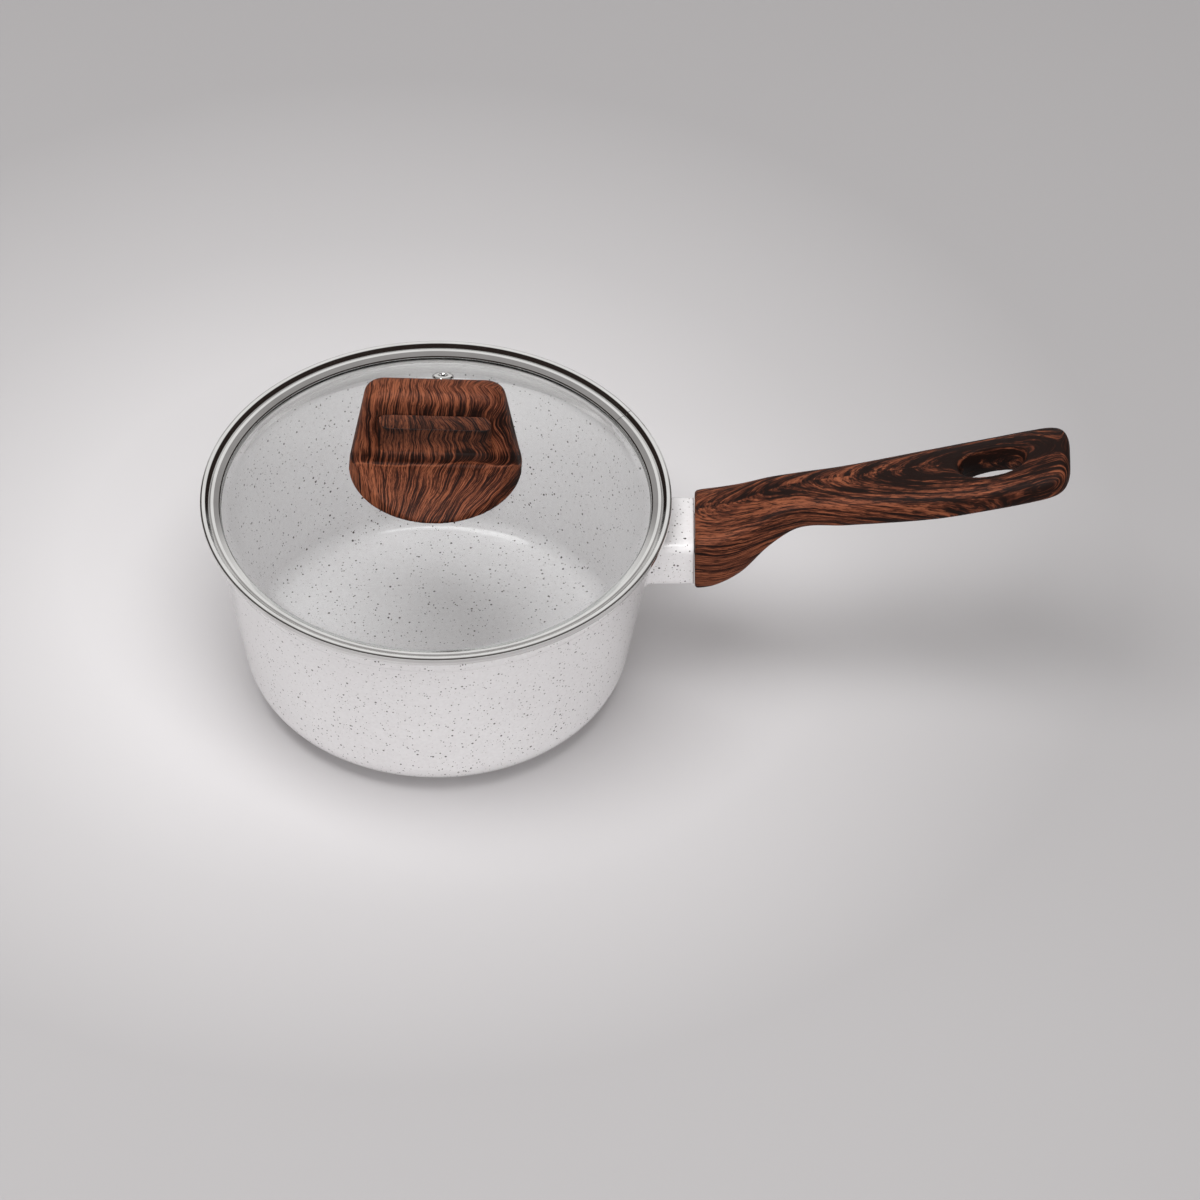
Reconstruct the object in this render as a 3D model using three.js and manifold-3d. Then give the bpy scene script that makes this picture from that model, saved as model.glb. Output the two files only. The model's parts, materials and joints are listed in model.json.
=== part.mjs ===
// Saucepan with a glass lid.
// Millimetres, +Z up. The origin is the middle of the base, on the surface that the pan stands on,
// and the handle points along +X.

import * as THREE from 'three';
import { LoftGeometry } from 'three/addons/geometries/LoftGeometry.js';
import { mergeVertices } from 'three/addons/utils/BufferGeometryUtils.js';
import Module from 'manifold-3d';

// ---------------------------------------------------------------- driving dimensions

const GAP = 0.3;                 // clearance kept between touching pieces
const ROUND_STEPS = 48;          // facets round the pan and the lid
const SMALL_STEPS = 20;          // facets round screws, washers and eyelets

// Pan: a tapered aluminium pressing with a steel induction disc let into its underside.
const RIM_Z = 90;                // height of the widest line of the lid's steel rim
const WALL_R_AT_RIM = 90.3;      // outer wall radius, extended up to RIM_Z
const WALL_TAPER = 0.178;        // radius gained for each millimetre of height
const WALL_T = 2.6;
const LIP_Z = RIM_Z - 5.3;       // top edge of the pan
const LIP_BAND_H = 5.2;          // thickened band below the top edge
const LIP_BAND_PROUD = 0.45;
const CORNER_R = 18.5;           // outside corner between wall and base
const FLOOR_Z = 9.0;             // inside floor
const FLOOR_FILLET_R = 8;
const DISC_R = 58;
const DISC_T = 1.6;
const DISC_PROUD = 0.5;          // the disc stands this far below the pan's own base

// Bracket welded to the wall, and its tang inside the handle.
const BRACKET_W = 32;
const BRACKET_H = 22;
const BRACKET_CORNER_R = 4;
const BRACKET_Z = 68;
const HANDLE_START_X = 103.2;
const TANG_W = 15;
const TANG_H = 9;
const TANG_Z = 72;
const TANG_CORNER_R = 1;
const TANG_END_X = 122;
const HANDLE_SCREW_X = 112.5;

// Handle cross-sections: x, centre height, width, height, and how square the section is
// (2 is an ellipse, larger is squarer).
const HANDLE_SECTIONS = [
    [103.2, 68.9, 35.2, 25.6, 5.2],
    [104.2, 69.0, 36.6, 27.0, 5.2],
    [112.0, 70.7, 36.4, 27.0, 5.0],
    [122.0, 75.4, 33.2, 24.8, 4.6],
    [133.0, 84.1, 27.4, 18.8, 4.0],
    [145.0, 90.2, 23.8, 14.2, 3.6],
    [163.0, 92.5, 26.4, 15.0, 3.4],
    [198.0, 98.7, 33.6, 15.2, 3.2],
    [222.0, 104.4, 35.6, 14.2, 3.2],
    [238.0, 108.6, 35.8, 13.6, 3.2],
    [245.5, 110.6, 34.6, 13.0, 3.1],
    [249.6, 111.6, 30.0, 11.4, 3.0],
    [251.6, 112.1, 22.0, 8.0, 2.8],
    [252.2, 112.2, 15.0, 5.0, 2.6],
];
const HANDLE_POINTS = 28;        // points round each cross-section
const HANDLE_STEPS = 26;         // steps along the handle
const HANG_HOLE_X = 221.5;
const HANG_HOLE_LENGTH = 24;     // at the waist, half-way through the handle
const HANG_HOLE_W = 14.6;
const HANG_HOLE_FLARE = 2.6;     // growth at each end from the waist to the faces
const HANG_HOLE_SIDE_FLARE = 0.6; // growth at each side, as a share of that

// Screw that holds the handle, in a counterbore below the tang.
const HANDLE_SCREW_HEAD_R = 3.8;
const HANDLE_SCREW_HEAD_H = 2.6;
const HANDLE_SCREW_R = 2;
const HANDLE_SCREW_COVER = 1;    // metal left above the screw's tip in the tang
const COUNTERBORE_CLEARANCE = 0.5;
const COUNTERBORE_TOP_Z = TANG_Z - TANG_H / 2 - GAP - 3;
const LOCK_WASHER_R = 3.6;
const LOCK_WASHER_T = 0.9;

// Lid: a domed glass disc clamped in a rolled steel rim.
const LID_TURN = -2.3 * Math.PI / 180;   // the lid sits turned a little about +Z
const GLASS_R = 170;             // sphere radius of the top surface
const GLASS_T = 3.5;
const GLASS_APEX_Z = RIM_Z + 21.6;
const GLASS_EDGE_R = 88.2;
const GLASS_HOLE_R = 3.6;        // centre hole for the knob's screw
const RIM_R = 94;
const RIM_T = 0.7;               // sheet thickness of the rim
const RIM_CREST_Z = RIM_Z + 1.1;
const RIM_GROOVE_R = 90.5;       // groove between the outer bead and the lip on the glass
const RIM_LIP_R = 85.9;
const RIM_LIP_Z = RIM_Z - 1.25;
const SHELF_Z = RIM_Z - 4.3;     // the rim's shelf, which the glass rests on
const SHELF_END_R = 90.4;
const FLANGE_R = 85.2;           // the flange hangs down inside the pan
const FLANGE_BOTTOM_Z = RIM_Z - 10;
const VENT_R = 61;               // distance of the steam vent from the centre
const VENT_HOLE_R = 2.6;         // hole in the glass
const EYELET_BORE_R = 1.5;
const EYELET_BARREL_R = 2.2;
const EYELET_FLANGE_R = 4.45;
const EYELET_FLANGE_H = 1.2;
const COLLAR_R = 4.2;
const COLLAR_T = 1.1;

// Knob: a moulded loop grip on a round skirt.
const KNOB_R = 34.5;
const KNOB_EDGE_Z = RIM_Z + 18.8;
const KNOB_EDGE_H = 1.3;         // thickness of the skirt at its edge
const KNOB_CREASE_Z = RIM_Z + 27.2;      // where the skirt meets the upright grip
const SKIRT_LEAN = 2.2;          // how far the skirt's plan draws in from its edge up to the crease
const KNOB_TOP_Z = RIM_Z + 61.5;
const KNOB_TOP_HALF_W = 27;
const KNOB_CORNER_R = 7;
const GRIP_ROOT_HALF_T = 8.5;
const GRIP_TOP_HALF_T = 7.2;
const GRIP_TOP_R = 5;
const WINDOW_HALF_W = 22.5;
const WINDOW_BOTTOM_Z = RIM_Z + 32;
const WINDOW_TOP_Z = RIM_Z + 51.4;
const WINDOW_CORNER_R = 4;
const INSERT_R = 4.5;            // brass insert moulded into the knob
const INSERT_TOP_Z = WINDOW_BOTTOM_Z - 2;

// Fixings of the knob: a gasket above the glass; a gasket, two washers and the screw below it.
const TOP_GASKET_R = 12;
const TOP_GASKET_Z = GLASS_APEX_Z + 1.8;
const BOTTOM_GASKET_R = 8;
const BOTTOM_GASKET_T = 1.4;
const WASHER_R = 7;
const SPRING_WASHER_R = 4.6;
const WASHER_T = 1;
const KNOB_SCREW_R = 2.4;
const KNOB_SCREW_HEAD_R = 4.7;
const KNOB_SCREW_HEAD_H = 3.2;

// ---------------------------------------------------------------- shape helpers

const wasm = await Module();
wasm.setup();

const point = (x, y) => new THREE.Vector2(x, y);

// Points along an arc, angles in degrees, both ends included.
function arc(centreX, centreY, radius, fromDegrees, toDegrees, steps) {
    const points = [];
    for (let i = 0; i <= steps; i += 1) {
        const angle = THREE.MathUtils.degToRad(fromDegrees + (toDegrees - fromDegrees) * i / steps);
        points.push(point(centreX + radius * Math.cos(angle), centreY + radius * Math.sin(angle)));
    }
    return points;
}

// Turns an outline of (radius, height) points, which runs anticlockwise, about the Z axis.
function revolve(outline, steps = ROUND_STEPS) {
    const closed = [...outline, outline[0]];
    return new THREE.LatheGeometry(closed, steps).rotateX(Math.PI / 2);
}

// Extrudes an outline of (x, z) points along Y, centred on y = 0.
function extrudeAlongY(shape, depth, curveSteps = 6) {
    const settings = { depth, bevelEnabled: false, curveSegments: curveSteps };
    return new THREE.ExtrudeGeometry(shape, settings).translate(0, 0, -depth / 2).rotateX(Math.PI / 2);
}

// Extrudes an outline of (y, z) points along X, from startX to endX.
function extrudeAlongX(shape, startX, endX, curveSteps = 5) {
    const settings = { depth: endX - startX, bevelEnabled: false, curveSegments: curveSteps };
    const geometry = new THREE.ExtrudeGeometry(shape, settings);
    return geometry.rotateX(Math.PI / 2).rotateZ(Math.PI / 2).translate(startX, 0, 0);
}

function roundedRectangle(centreX, centreY, width, height, radius) {
    const left = centreX - width / 2;
    const right = centreX + width / 2;
    const bottom = centreY - height / 2;
    const top = centreY + height / 2;
    const shape = new THREE.Shape();
    shape.moveTo(right - radius, bottom);
    shape.absarc(right - radius, bottom + radius, radius, -Math.PI / 2, 0);
    shape.absarc(right - radius, top - radius, radius, 0, Math.PI / 2);
    shape.absarc(left + radius, top - radius, radius, Math.PI / 2, Math.PI);
    shape.absarc(left + radius, bottom + radius, radius, Math.PI, 1.5 * Math.PI);
    shape.closePath();
    return shape;
}

function cylinder(radius, bottomZ, topZ, x = 0, y = 0) {
    const geometry = new THREE.CylinderGeometry(radius, radius, topZ - bottomZ, SMALL_STEPS);
    return geometry.rotateX(Math.PI / 2).translate(x, y, (bottomZ + topZ) / 2);
}

function toSolid(geometry) {
    const bare = new THREE.BufferGeometry();
    bare.setAttribute('position', geometry.attributes.position);
    bare.setIndex(geometry.index);
    const merged = mergeVertices(bare, 1e-4);
    const corners = merged.index.array;
    const kept = [];
    for (let i = 0; i < corners.length; i += 3) {
        const [a, b, c] = [corners[i], corners[i + 1], corners[i + 2]];
        if (a !== b && b !== c && c !== a) {
            kept.push(a, b, c);
        }
    }
    const mesh = new wasm.Mesh({
        numProp: 3,
        vertProperties: Float32Array.from(merged.attributes.position.array),
        triVerts: Uint32Array.from(kept),
    });
    return new wasm.Manifold(mesh);
}

function toGeometry(solid) {
    const mesh = solid.getMesh();
    const geometry = new THREE.BufferGeometry();
    geometry.setAttribute('position', new THREE.BufferAttribute(mesh.vertProperties, 3));
    geometry.setIndex(new THREE.BufferAttribute(mesh.triVerts, 1));
    return geometry;
}

function cut(body, ...tools) {
    let solid = toSolid(body);
    for (const tool of tools) {
        solid = solid.subtract(toSolid(tool));
    }
    return toGeometry(solid);
}

function join(first, ...others) {
    let solid = toSolid(first);
    for (const other of others) {
        solid = solid.add(toSolid(other));
    }
    return toGeometry(solid);
}

function intersect(first, ...others) {
    let solid = toSolid(first);
    for (const other of others) {
        solid = solid.intersect(toSolid(other));
    }
    return toGeometry(solid);
}

// ---------------------------------------------------------------- finishes

const finish = (color, roughness, metalness = 0) => ({ color, roughness, metalness });

const FINISHES = {
    coating: finish(0xd9d6d0, 0.35),
    steel: finish(0xc9c9c7, 0.18, 1),
    mattSteel: finish(0xa8a8a6, 0.42, 1),
    brass: finish(0xc09a4a, 0.3, 1),
    bakelite: finish(0x6b3a27, 0.4),
    silicone: finish(0xe4e2dc, 0.7),
    glass: finish(0xdfe6e6, 0.05),
};

function piece(name, geometry, finishName) {
    const material = new THREE.MeshStandardMaterial(FINISHES[finishName]);
    if (finishName === 'glass') {
        material.transparent = true;
        material.opacity = 0.35;
    }
    const mesh = new THREE.Mesh(geometry, material);
    mesh.name = name;
    return mesh;
}

// ---------------------------------------------------------------- pan

const wallAngle = THREE.MathUtils.radToDeg(Math.atan(WALL_TAPER));
const wallAcross = WALL_T / Math.cos(Math.atan(WALL_TAPER));
const outerWallR = (z) => WALL_R_AT_RIM + WALL_TAPER * (z - RIM_Z);
const innerWallR = (z) => outerWallR(z) - wallAcross;

// Rounds the corner between a flat face at floorZ and a tapered wall: the arc's centre radius.
function cornerCentreR(wallR, floorZ, radius) {
    const touchZ = floorZ + radius - radius * Math.sin(Math.atan(WALL_TAPER));
    return wallR(touchZ) - radius * Math.cos(Math.atan(WALL_TAPER));
}

function panOutline() {
    const outerCentreR = cornerCentreR(outerWallR, DISC_PROUD, CORNER_R);
    const innerCentreR = cornerCentreR(innerWallR, FLOOR_Z, FLOOR_FILLET_R);
    const bandZ = LIP_Z - LIP_BAND_H;
    const lipOuterR = outerWallR(LIP_Z) + LIP_BAND_PROUD;
    const lipInnerR = innerWallR(LIP_Z);
    const lipRoundR = (lipOuterR - lipInnerR) / 2;
    const recessZ = DISC_T + GAP;
    return [
        point(0, recessZ),
        point(DISC_R + GAP, recessZ),
        point(DISC_R + GAP, DISC_PROUD),
        ...arc(outerCentreR, DISC_PROUD + CORNER_R, CORNER_R, -90, -wallAngle, 6),
        point(outerWallR(bandZ - LIP_BAND_PROUD), bandZ - LIP_BAND_PROUD),
        point(outerWallR(bandZ) + LIP_BAND_PROUD, bandZ),
        ...arc(lipInnerR + lipRoundR, LIP_Z - lipRoundR, lipRoundR, 0, 180, 5),
        ...arc(innerCentreR, FLOOR_Z + FLOOR_FILLET_R, FLOOR_FILLET_R, -wallAngle, -90, 5),
        point(0, FLOOR_Z),
    ];
}

function panBody() {
    return piece('pan_body', revolve(panOutline()), 'coating');
}

function baseDisc() {
    const outline = [
        point(0, 0),
        point(DISC_R - 0.4, 0),
        point(DISC_R, 0.4),
        point(DISC_R, DISC_T),
        point(0, DISC_T),
    ];
    return piece('base_disc', revolve(outline), 'mattSteel');
}

// The outside of the wall and its lip band grown by the gap, which the bracket's foot is cut to.
function wallClearance() {
    const bandZ = LIP_Z - LIP_BAND_H;
    const outline = [
        point(0, 0),
        point(outerWallR(0) + GAP, 0),
        point(outerWallR(bandZ - 1) + GAP, bandZ - 1),
        point(outerWallR(bandZ) + LIP_BAND_PROUD + GAP, bandZ - GAP),
        point(outerWallR(RIM_Z) + LIP_BAND_PROUD + GAP, RIM_Z),
        point(0, RIM_Z),
    ];
    return revolve(outline);
}

function handleBracket() {
    const footX = innerWallR(BRACKET_Z);
    const shoulderX = HANDLE_START_X - GAP;
    const tangOverlap = 2;
    const screwHoleTopZ = TANG_Z + TANG_H / 2 - HANDLE_SCREW_COVER;
    const section = roundedRectangle(0, BRACKET_Z, BRACKET_W, BRACKET_H, BRACKET_CORNER_R);
    const tangSection = roundedRectangle(0, TANG_Z, TANG_W, TANG_H, TANG_CORNER_R);
    const block = extrudeAlongX(section, footX, shoulderX);
    const tang = extrudeAlongX(tangSection, shoulderX - tangOverlap, TANG_END_X, 2);
    const screwHole = cylinder(HANDLE_SCREW_R + GAP, TANG_Z - TANG_H, screwHoleTopZ, HANDLE_SCREW_X);
    return piece('handle_bracket', cut(join(block, tang), wallClearance(), screwHole), 'coating');
}

// ---------------------------------------------------------------- handle

// One ring of points: a rounded section in the plane x, anticlockwise as seen from
// the handle's far end.
function handleRing(x, [centreZ, width, height, squareness]) {
    const ring = [];
    for (let i = 0; i < HANDLE_POINTS; i += 1) {
        const angle = 2 * Math.PI * i / HANDLE_POINTS;
        const bend = (value) => Math.sign(value) * Math.abs(value) ** (2 / squareness);
        const y = width / 2 * bend(Math.cos(angle));
        const z = centreZ + height / 2 * bend(Math.sin(angle));
        ring.push(new THREE.Vector3(x, y, z));
    }
    return ring;
}

// Smooth curve through the cross-sections: centre height, width, height and squareness at x.
const handleSpline = new THREE.CubicInterpolant(
    HANDLE_SECTIONS.map((section) => section[0]),
    HANDLE_SECTIONS.flatMap((section) => section.slice(1)),
    4,
);
const handleSection = (x) => [...handleSpline.evaluate(x)];

// Even steps along the handle, with the listed stations kept at both ends, where the edges are rounded.
function handleStations() {
    const stations = HANDLE_SECTIONS.map((section) => section[0]);
    const startX = stations[1];
    const endX = stations[stations.length - 4];
    const between = [];
    for (let i = 1; i < HANDLE_STEPS; i += 1) {
        between.push(startX + (endX - startX) * i / HANDLE_STEPS);
    }
    return [...stations.slice(0, 2), ...between, ...stations.slice(-4)];
}

function handleShell() {
    const rings = handleStations().map((x) => handleRing(x, handleSection(x)));
    return new LoftGeometry(rings, { capStart: true, capEnd: true });
}

// Oval tool through the handle: a waist at mid-thickness that flares towards both faces.
function hangHole() {
    const [centreZ, , thickness] = handleSection(HANG_HOLE_X);
    const span = 5;
    const rise = handleSection(HANG_HOLE_X + span)[0] - handleSection(HANG_HOLE_X - span)[0];
    const slope = rise / (2 * span);
    const pointCount = 28;
    const beyond = 4;
    const faceZ = thickness / 2;
    const sharesOfHalfThickness = [0.17, 0.5, 0.87, 1];
    const half = sharesOfHalfThickness.map((share) => {
        return [faceZ * share, HANG_HOLE_FLARE * (1 - Math.sqrt(1 - share ** 2))];
    });
    half.push([faceZ + beyond, HANG_HOLE_FLARE + beyond]);
    const levels = [...half.map(([z, grow]) => [-z, grow]).reverse(), ...half];
    const rings = levels.map(([z, grow]) => {
        const halfLength = HANG_HOLE_LENGTH / 2 + grow;
        const halfW = HANG_HOLE_W / 2 + HANG_HOLE_SIDE_FLARE * grow;
        const ring = [];
        for (let i = 0; i < pointCount; i += 1) {
            const angle = 2 * Math.PI * i / pointCount;
            const x = halfLength * Math.cos(angle);
            ring.push(new THREE.Vector3(HANG_HOLE_X + x, halfW * Math.sin(angle), centreZ + slope * x + z));
        }
        return ring;
    });
    return new LoftGeometry(rings, { capStart: true, capEnd: true });
}

function handle() {
    const socketSection = roundedRectangle(0, TANG_Z, TANG_W + 2 * GAP, TANG_H + 2 * GAP, TANG_CORNER_R);
    const socket = extrudeAlongX(socketSection, HANDLE_START_X - 1, TANG_END_X + GAP, 2);
    const boreR = HANDLE_SCREW_HEAD_R + COUNTERBORE_CLEARANCE;
    const belowZ = BRACKET_Z - BRACKET_H;
    const counterbore = cylinder(boreR, belowZ, COUNTERBORE_TOP_Z, HANDLE_SCREW_X);
    const screwHole = cylinder(HANDLE_SCREW_R + GAP, belowZ, TANG_Z, HANDLE_SCREW_X);
    return piece('handle', cut(handleShell(), socket, counterbore, screwHole, hangHole()), 'bakelite');
}

// Cross recess: two slots through each other.
function crossRecess(length, width, bottomZ, topZ, x = 0) {
    const bars = [[length, width], [width, length]].map(([sizeX, sizeY]) => {
        return new THREE.BoxGeometry(sizeX, sizeY, topZ - bottomZ).translate(x, 0, (bottomZ + topZ) / 2);
    });
    return join(...bars);
}

// Screw that points up: a domed head below headTopZ and a shank up to tipZ.
function screw(headR, headH, shankR, headTopZ, tipZ, x) {
    const headBottomZ = headTopZ - headH;
    const tipChamfer = 0.6;
    const recessW = 1;
    const outline = [
        point(0, headBottomZ),
        point(headR * 0.62, headBottomZ + 0.1 * headH),
        point(headR * 0.92, headBottomZ + 0.4 * headH),
        point(headR, headBottomZ + 0.75 * headH),
        point(headR, headTopZ),
        point(shankR, headTopZ),
        point(shankR, tipZ - tipChamfer),
        point(shankR - tipChamfer, tipZ),
        point(0, tipZ),
    ];
    const body = revolve(outline, SMALL_STEPS).translate(x, 0, 0);
    const recess = crossRecess(headR * 1.1, recessW, headBottomZ - 1, headBottomZ + 0.5 * headH, x);
    return cut(body, recess);
}

// Ring with a square section.
function ring(innerR, outerR, bottomZ, topZ, x = 0) {
    const outline = [
        point(innerR, bottomZ),
        point(outerR, bottomZ),
        point(outerR, topZ),
        point(innerR, topZ),
    ];
    return revolve(outline, SMALL_STEPS).translate(x, 0, 0);
}

// Spring washer: a ring split by a narrow slanting slot.
function splitRing(innerR, outerR, bottomZ, topZ, x = 0) {
    const slotW = 0.8;
    const slant = 0.3;
    const split = new THREE.BoxGeometry(outerR * 2, slotW, 2 * (topZ - bottomZ));
    split.rotateZ(slant).translate(x + outerR, slant * outerR, (bottomZ + topZ) / 2);
    return cut(ring(innerR, outerR, bottomZ, topZ, x), split);
}

function handleScrew() {
    const headTopZ = COUNTERBORE_TOP_Z - LOCK_WASHER_T - 2 * GAP;
    const tipZ = TANG_Z + TANG_H / 2 - HANDLE_SCREW_COVER - GAP;
    const [headR, headH] = [HANDLE_SCREW_HEAD_R, HANDLE_SCREW_HEAD_H];
    const geometry = screw(headR, headH, HANDLE_SCREW_R, headTopZ, tipZ, HANDLE_SCREW_X);
    return piece('handle_screw', geometry, 'steel');
}

function handleLockWasher() {
    const topZ = COUNTERBORE_TOP_Z - GAP;
    const innerR = HANDLE_SCREW_R + GAP;
    const geometry = splitRing(innerR, LOCK_WASHER_R, topZ - LOCK_WASHER_T, topZ, HANDLE_SCREW_X);
    return piece('handle_lock_washer', geometry, 'steel');
}

// ---------------------------------------------------------------- lid glass, rim and vent

const GLASS_CENTRE_Z = GLASS_APEX_Z - GLASS_R;
const glassTopZ = (r) => GLASS_CENTRE_Z + Math.sqrt(GLASS_R ** 2 - r ** 2);
const glassBottomZ = (r) => GLASS_CENTRE_Z + Math.sqrt((GLASS_R - GLASS_T) ** 2 - r ** 2);

// Points along a dome between two radii.
function dome(heightAt, fromR, toR, steps) {
    const points = [];
    for (let i = 0; i <= steps; i += 1) {
        const r = fromR + (toR - fromR) * i / steps;
        points.push(point(r, heightAt(r)));
    }
    return points;
}

// Where the underside of the dome meets the seat ground flat round the edge.
const GLASS_SEAT_Z = SHELF_Z + GAP;
const GLASS_SEAT_R = Math.sqrt((GLASS_R - GLASS_T) ** 2 - (GLASS_SEAT_Z - GLASS_CENTRE_Z) ** 2);

// A tool or piece made about the origin, tipped onto the glass's surface at the vent.
function atVent(geometry) {
    const tilt = Math.asin(VENT_R / GLASS_R);
    return geometry.rotateX(-tilt).translate(0, VENT_R, glassTopZ(VENT_R));
}

function lidGlass() {
    const outline = [
        ...dome(glassBottomZ, GLASS_HOLE_R, GLASS_SEAT_R, 7),
        point(GLASS_EDGE_R, GLASS_SEAT_Z),
        ...dome(glassTopZ, GLASS_EDGE_R, GLASS_HOLE_R, 7),
    ];
    const ventHole = atVent(cylinder(VENT_HOLE_R, -10, 10));
    return piece('lid_glass', cut(revolve(outline), ventHole), 'glass');
}

// The rim's section, one bent sheet: flange, shelf, outer bead, groove and the lip on the glass.
function rimOutline() {
    const shelfUndersideZ = SHELF_Z - RIM_T;
    const outside = [
        point(FLANGE_R - RIM_T, FLANGE_BOTTOM_Z),
        point(FLANGE_R, FLANGE_BOTTOM_Z),
        point(FLANGE_R, shelfUndersideZ - RIM_T),
        point(FLANGE_R + RIM_T, shelfUndersideZ),
        point(SHELF_END_R, shelfUndersideZ),
        point(RIM_R - 1.6, RIM_Z - 3.8),
        point(RIM_R - 0.4, RIM_Z - 2.4),
        point(RIM_R, RIM_Z - 0.8),
        point(RIM_R, RIM_Z + 0.6),
        point(RIM_R - 0.7, RIM_CREST_Z),
        point(RIM_R - 2, RIM_CREST_Z),
        point(RIM_GROOVE_R, RIM_Z - 0.35),
        point(RIM_GROOVE_R - 0.7, RIM_Z),
        point(RIM_GROOVE_R - 1.9, RIM_Z),
        point(RIM_LIP_R + 0.7, RIM_LIP_Z + 0.5),
        point(RIM_LIP_R, RIM_LIP_Z),
    ];
    const inside = [
        point(RIM_LIP_R + 0.25, RIM_LIP_Z - 0.25),
        point(RIM_GROOVE_R - 2, RIM_Z - 0.7),
        point(RIM_GROOVE_R - 0.2, RIM_Z - 1.05),
        point(RIM_R - 2.3, RIM_CREST_Z - RIM_T),
        point(RIM_R - 0.8, RIM_CREST_Z - RIM_T),
        point(RIM_R - 1.2, RIM_Z - 2.2),
        point(RIM_R - 2.4, RIM_Z - 3.3),
        point(SHELF_END_R - 0.3, SHELF_Z),
        point(FLANGE_R - RIM_T, SHELF_Z),
    ];
    return [...outside, ...inside];
}

function lidRim() {
    return piece('lid_rim', revolve(rimOutline()), 'steel');
}

// The vent is riveted through the glass: an eyelet with a flange on top, and a collar below it.
function ventEyelet() {
    const tailZ = -GLASS_T - 2 * GAP - COLLAR_T - 0.5;
    const outline = [
        point(EYELET_BORE_R, tailZ),
        point(EYELET_BARREL_R, tailZ),
        point(EYELET_BARREL_R, GAP),
        point(EYELET_FLANGE_R - 0.35, GAP),
        point(EYELET_FLANGE_R, GAP + 0.35),
        point(EYELET_FLANGE_R - 0.55, GAP + 0.9),
        point(EYELET_BARREL_R + 0.4, GAP + EYELET_FLANGE_H),
        point(EYELET_BORE_R + 0.2, GAP + 0.8),
        point(EYELET_BORE_R, GAP),
    ];
    return piece('vent_eyelet', atVent(revolve(outline, SMALL_STEPS)), 'steel');
}

function ventCollar() {
    const topZ = -GLASS_T - GAP;
    const geometry = ring(EYELET_BARREL_R + GAP, COLLAR_R, topZ - COLLAR_T, topZ);
    return piece('vent_collar', atVent(geometry), 'steel');
}

// ---------------------------------------------------------------- knob and its fixings

const KNOB_TOOL_REACH = 10;      // how far the knob's outlines run on below its edge

// Front view of the knob, in x and z, with the finger window through it.
function knobFront() {
    const slope = (KNOB_R - KNOB_TOP_HALF_W) / (KNOB_TOP_Z - KNOB_EDGE_Z);
    const lean = Math.atan(slope);
    const cornerX = KNOB_TOP_HALF_W - KNOB_CORNER_R * (1 - Math.sin(lean)) / Math.cos(lean);
    const cornerZ = KNOB_TOP_Z - KNOB_CORNER_R;
    const lowZ = KNOB_EDGE_Z - KNOB_TOOL_REACH;
    const lowHalfW = KNOB_R + KNOB_TOOL_REACH * slope;
    const shape = new THREE.Shape();
    shape.moveTo(-lowHalfW, lowZ);
    shape.lineTo(lowHalfW, lowZ);
    shape.absarc(cornerX, cornerZ, KNOB_CORNER_R, lean, Math.PI / 2);
    shape.absarc(-cornerX, cornerZ, KNOB_CORNER_R, Math.PI / 2, Math.PI - lean);
    shape.closePath();
    const windowZ = (WINDOW_BOTTOM_Z + WINDOW_TOP_Z) / 2;
    const windowH = WINDOW_TOP_Z - WINDOW_BOTTOM_Z;
    shape.holes.push(roundedRectangle(0, windowZ, 2 * WINDOW_HALF_W, windowH, WINDOW_CORNER_R));
    return shape;
}

// Side view of the knob, in y and z: the domed skirt on each side and the upright grip.
function knobSide() {
    const lowZ = KNOB_EDGE_Z - KNOB_TOOL_REACH;
    const edgeZ = KNOB_EDGE_Z + KNOB_EDGE_H;
    const skirtBendY = 24;
    const skirtBendZ = KNOB_CREASE_Z - 1.2;
    const roundY = GRIP_TOP_HALF_T - GRIP_TOP_R;
    const roundZ = KNOB_TOP_Z - GRIP_TOP_R;
    const shape = new THREE.Shape();
    shape.moveTo(-KNOB_R, lowZ);
    shape.lineTo(KNOB_R, lowZ);
    shape.lineTo(KNOB_R, edgeZ);
    shape.quadraticCurveTo(skirtBendY, skirtBendZ, GRIP_ROOT_HALF_T, KNOB_CREASE_Z);
    shape.lineTo(GRIP_TOP_HALF_T, WINDOW_BOTTOM_Z);
    shape.absarc(roundY, roundZ, GRIP_TOP_R, 0, Math.PI / 2);
    shape.absarc(-roundY, roundZ, GRIP_TOP_R, Math.PI / 2, Math.PI);
    shape.lineTo(-GRIP_TOP_HALF_T, WINDOW_BOTTOM_Z);
    shape.lineTo(-GRIP_ROOT_HALF_T, KNOB_CREASE_Z);
    shape.quadraticCurveTo(-skirtBendY, skirtBendZ, -KNOB_R, edgeZ);
    shape.closePath();
    return shape;
}

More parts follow.
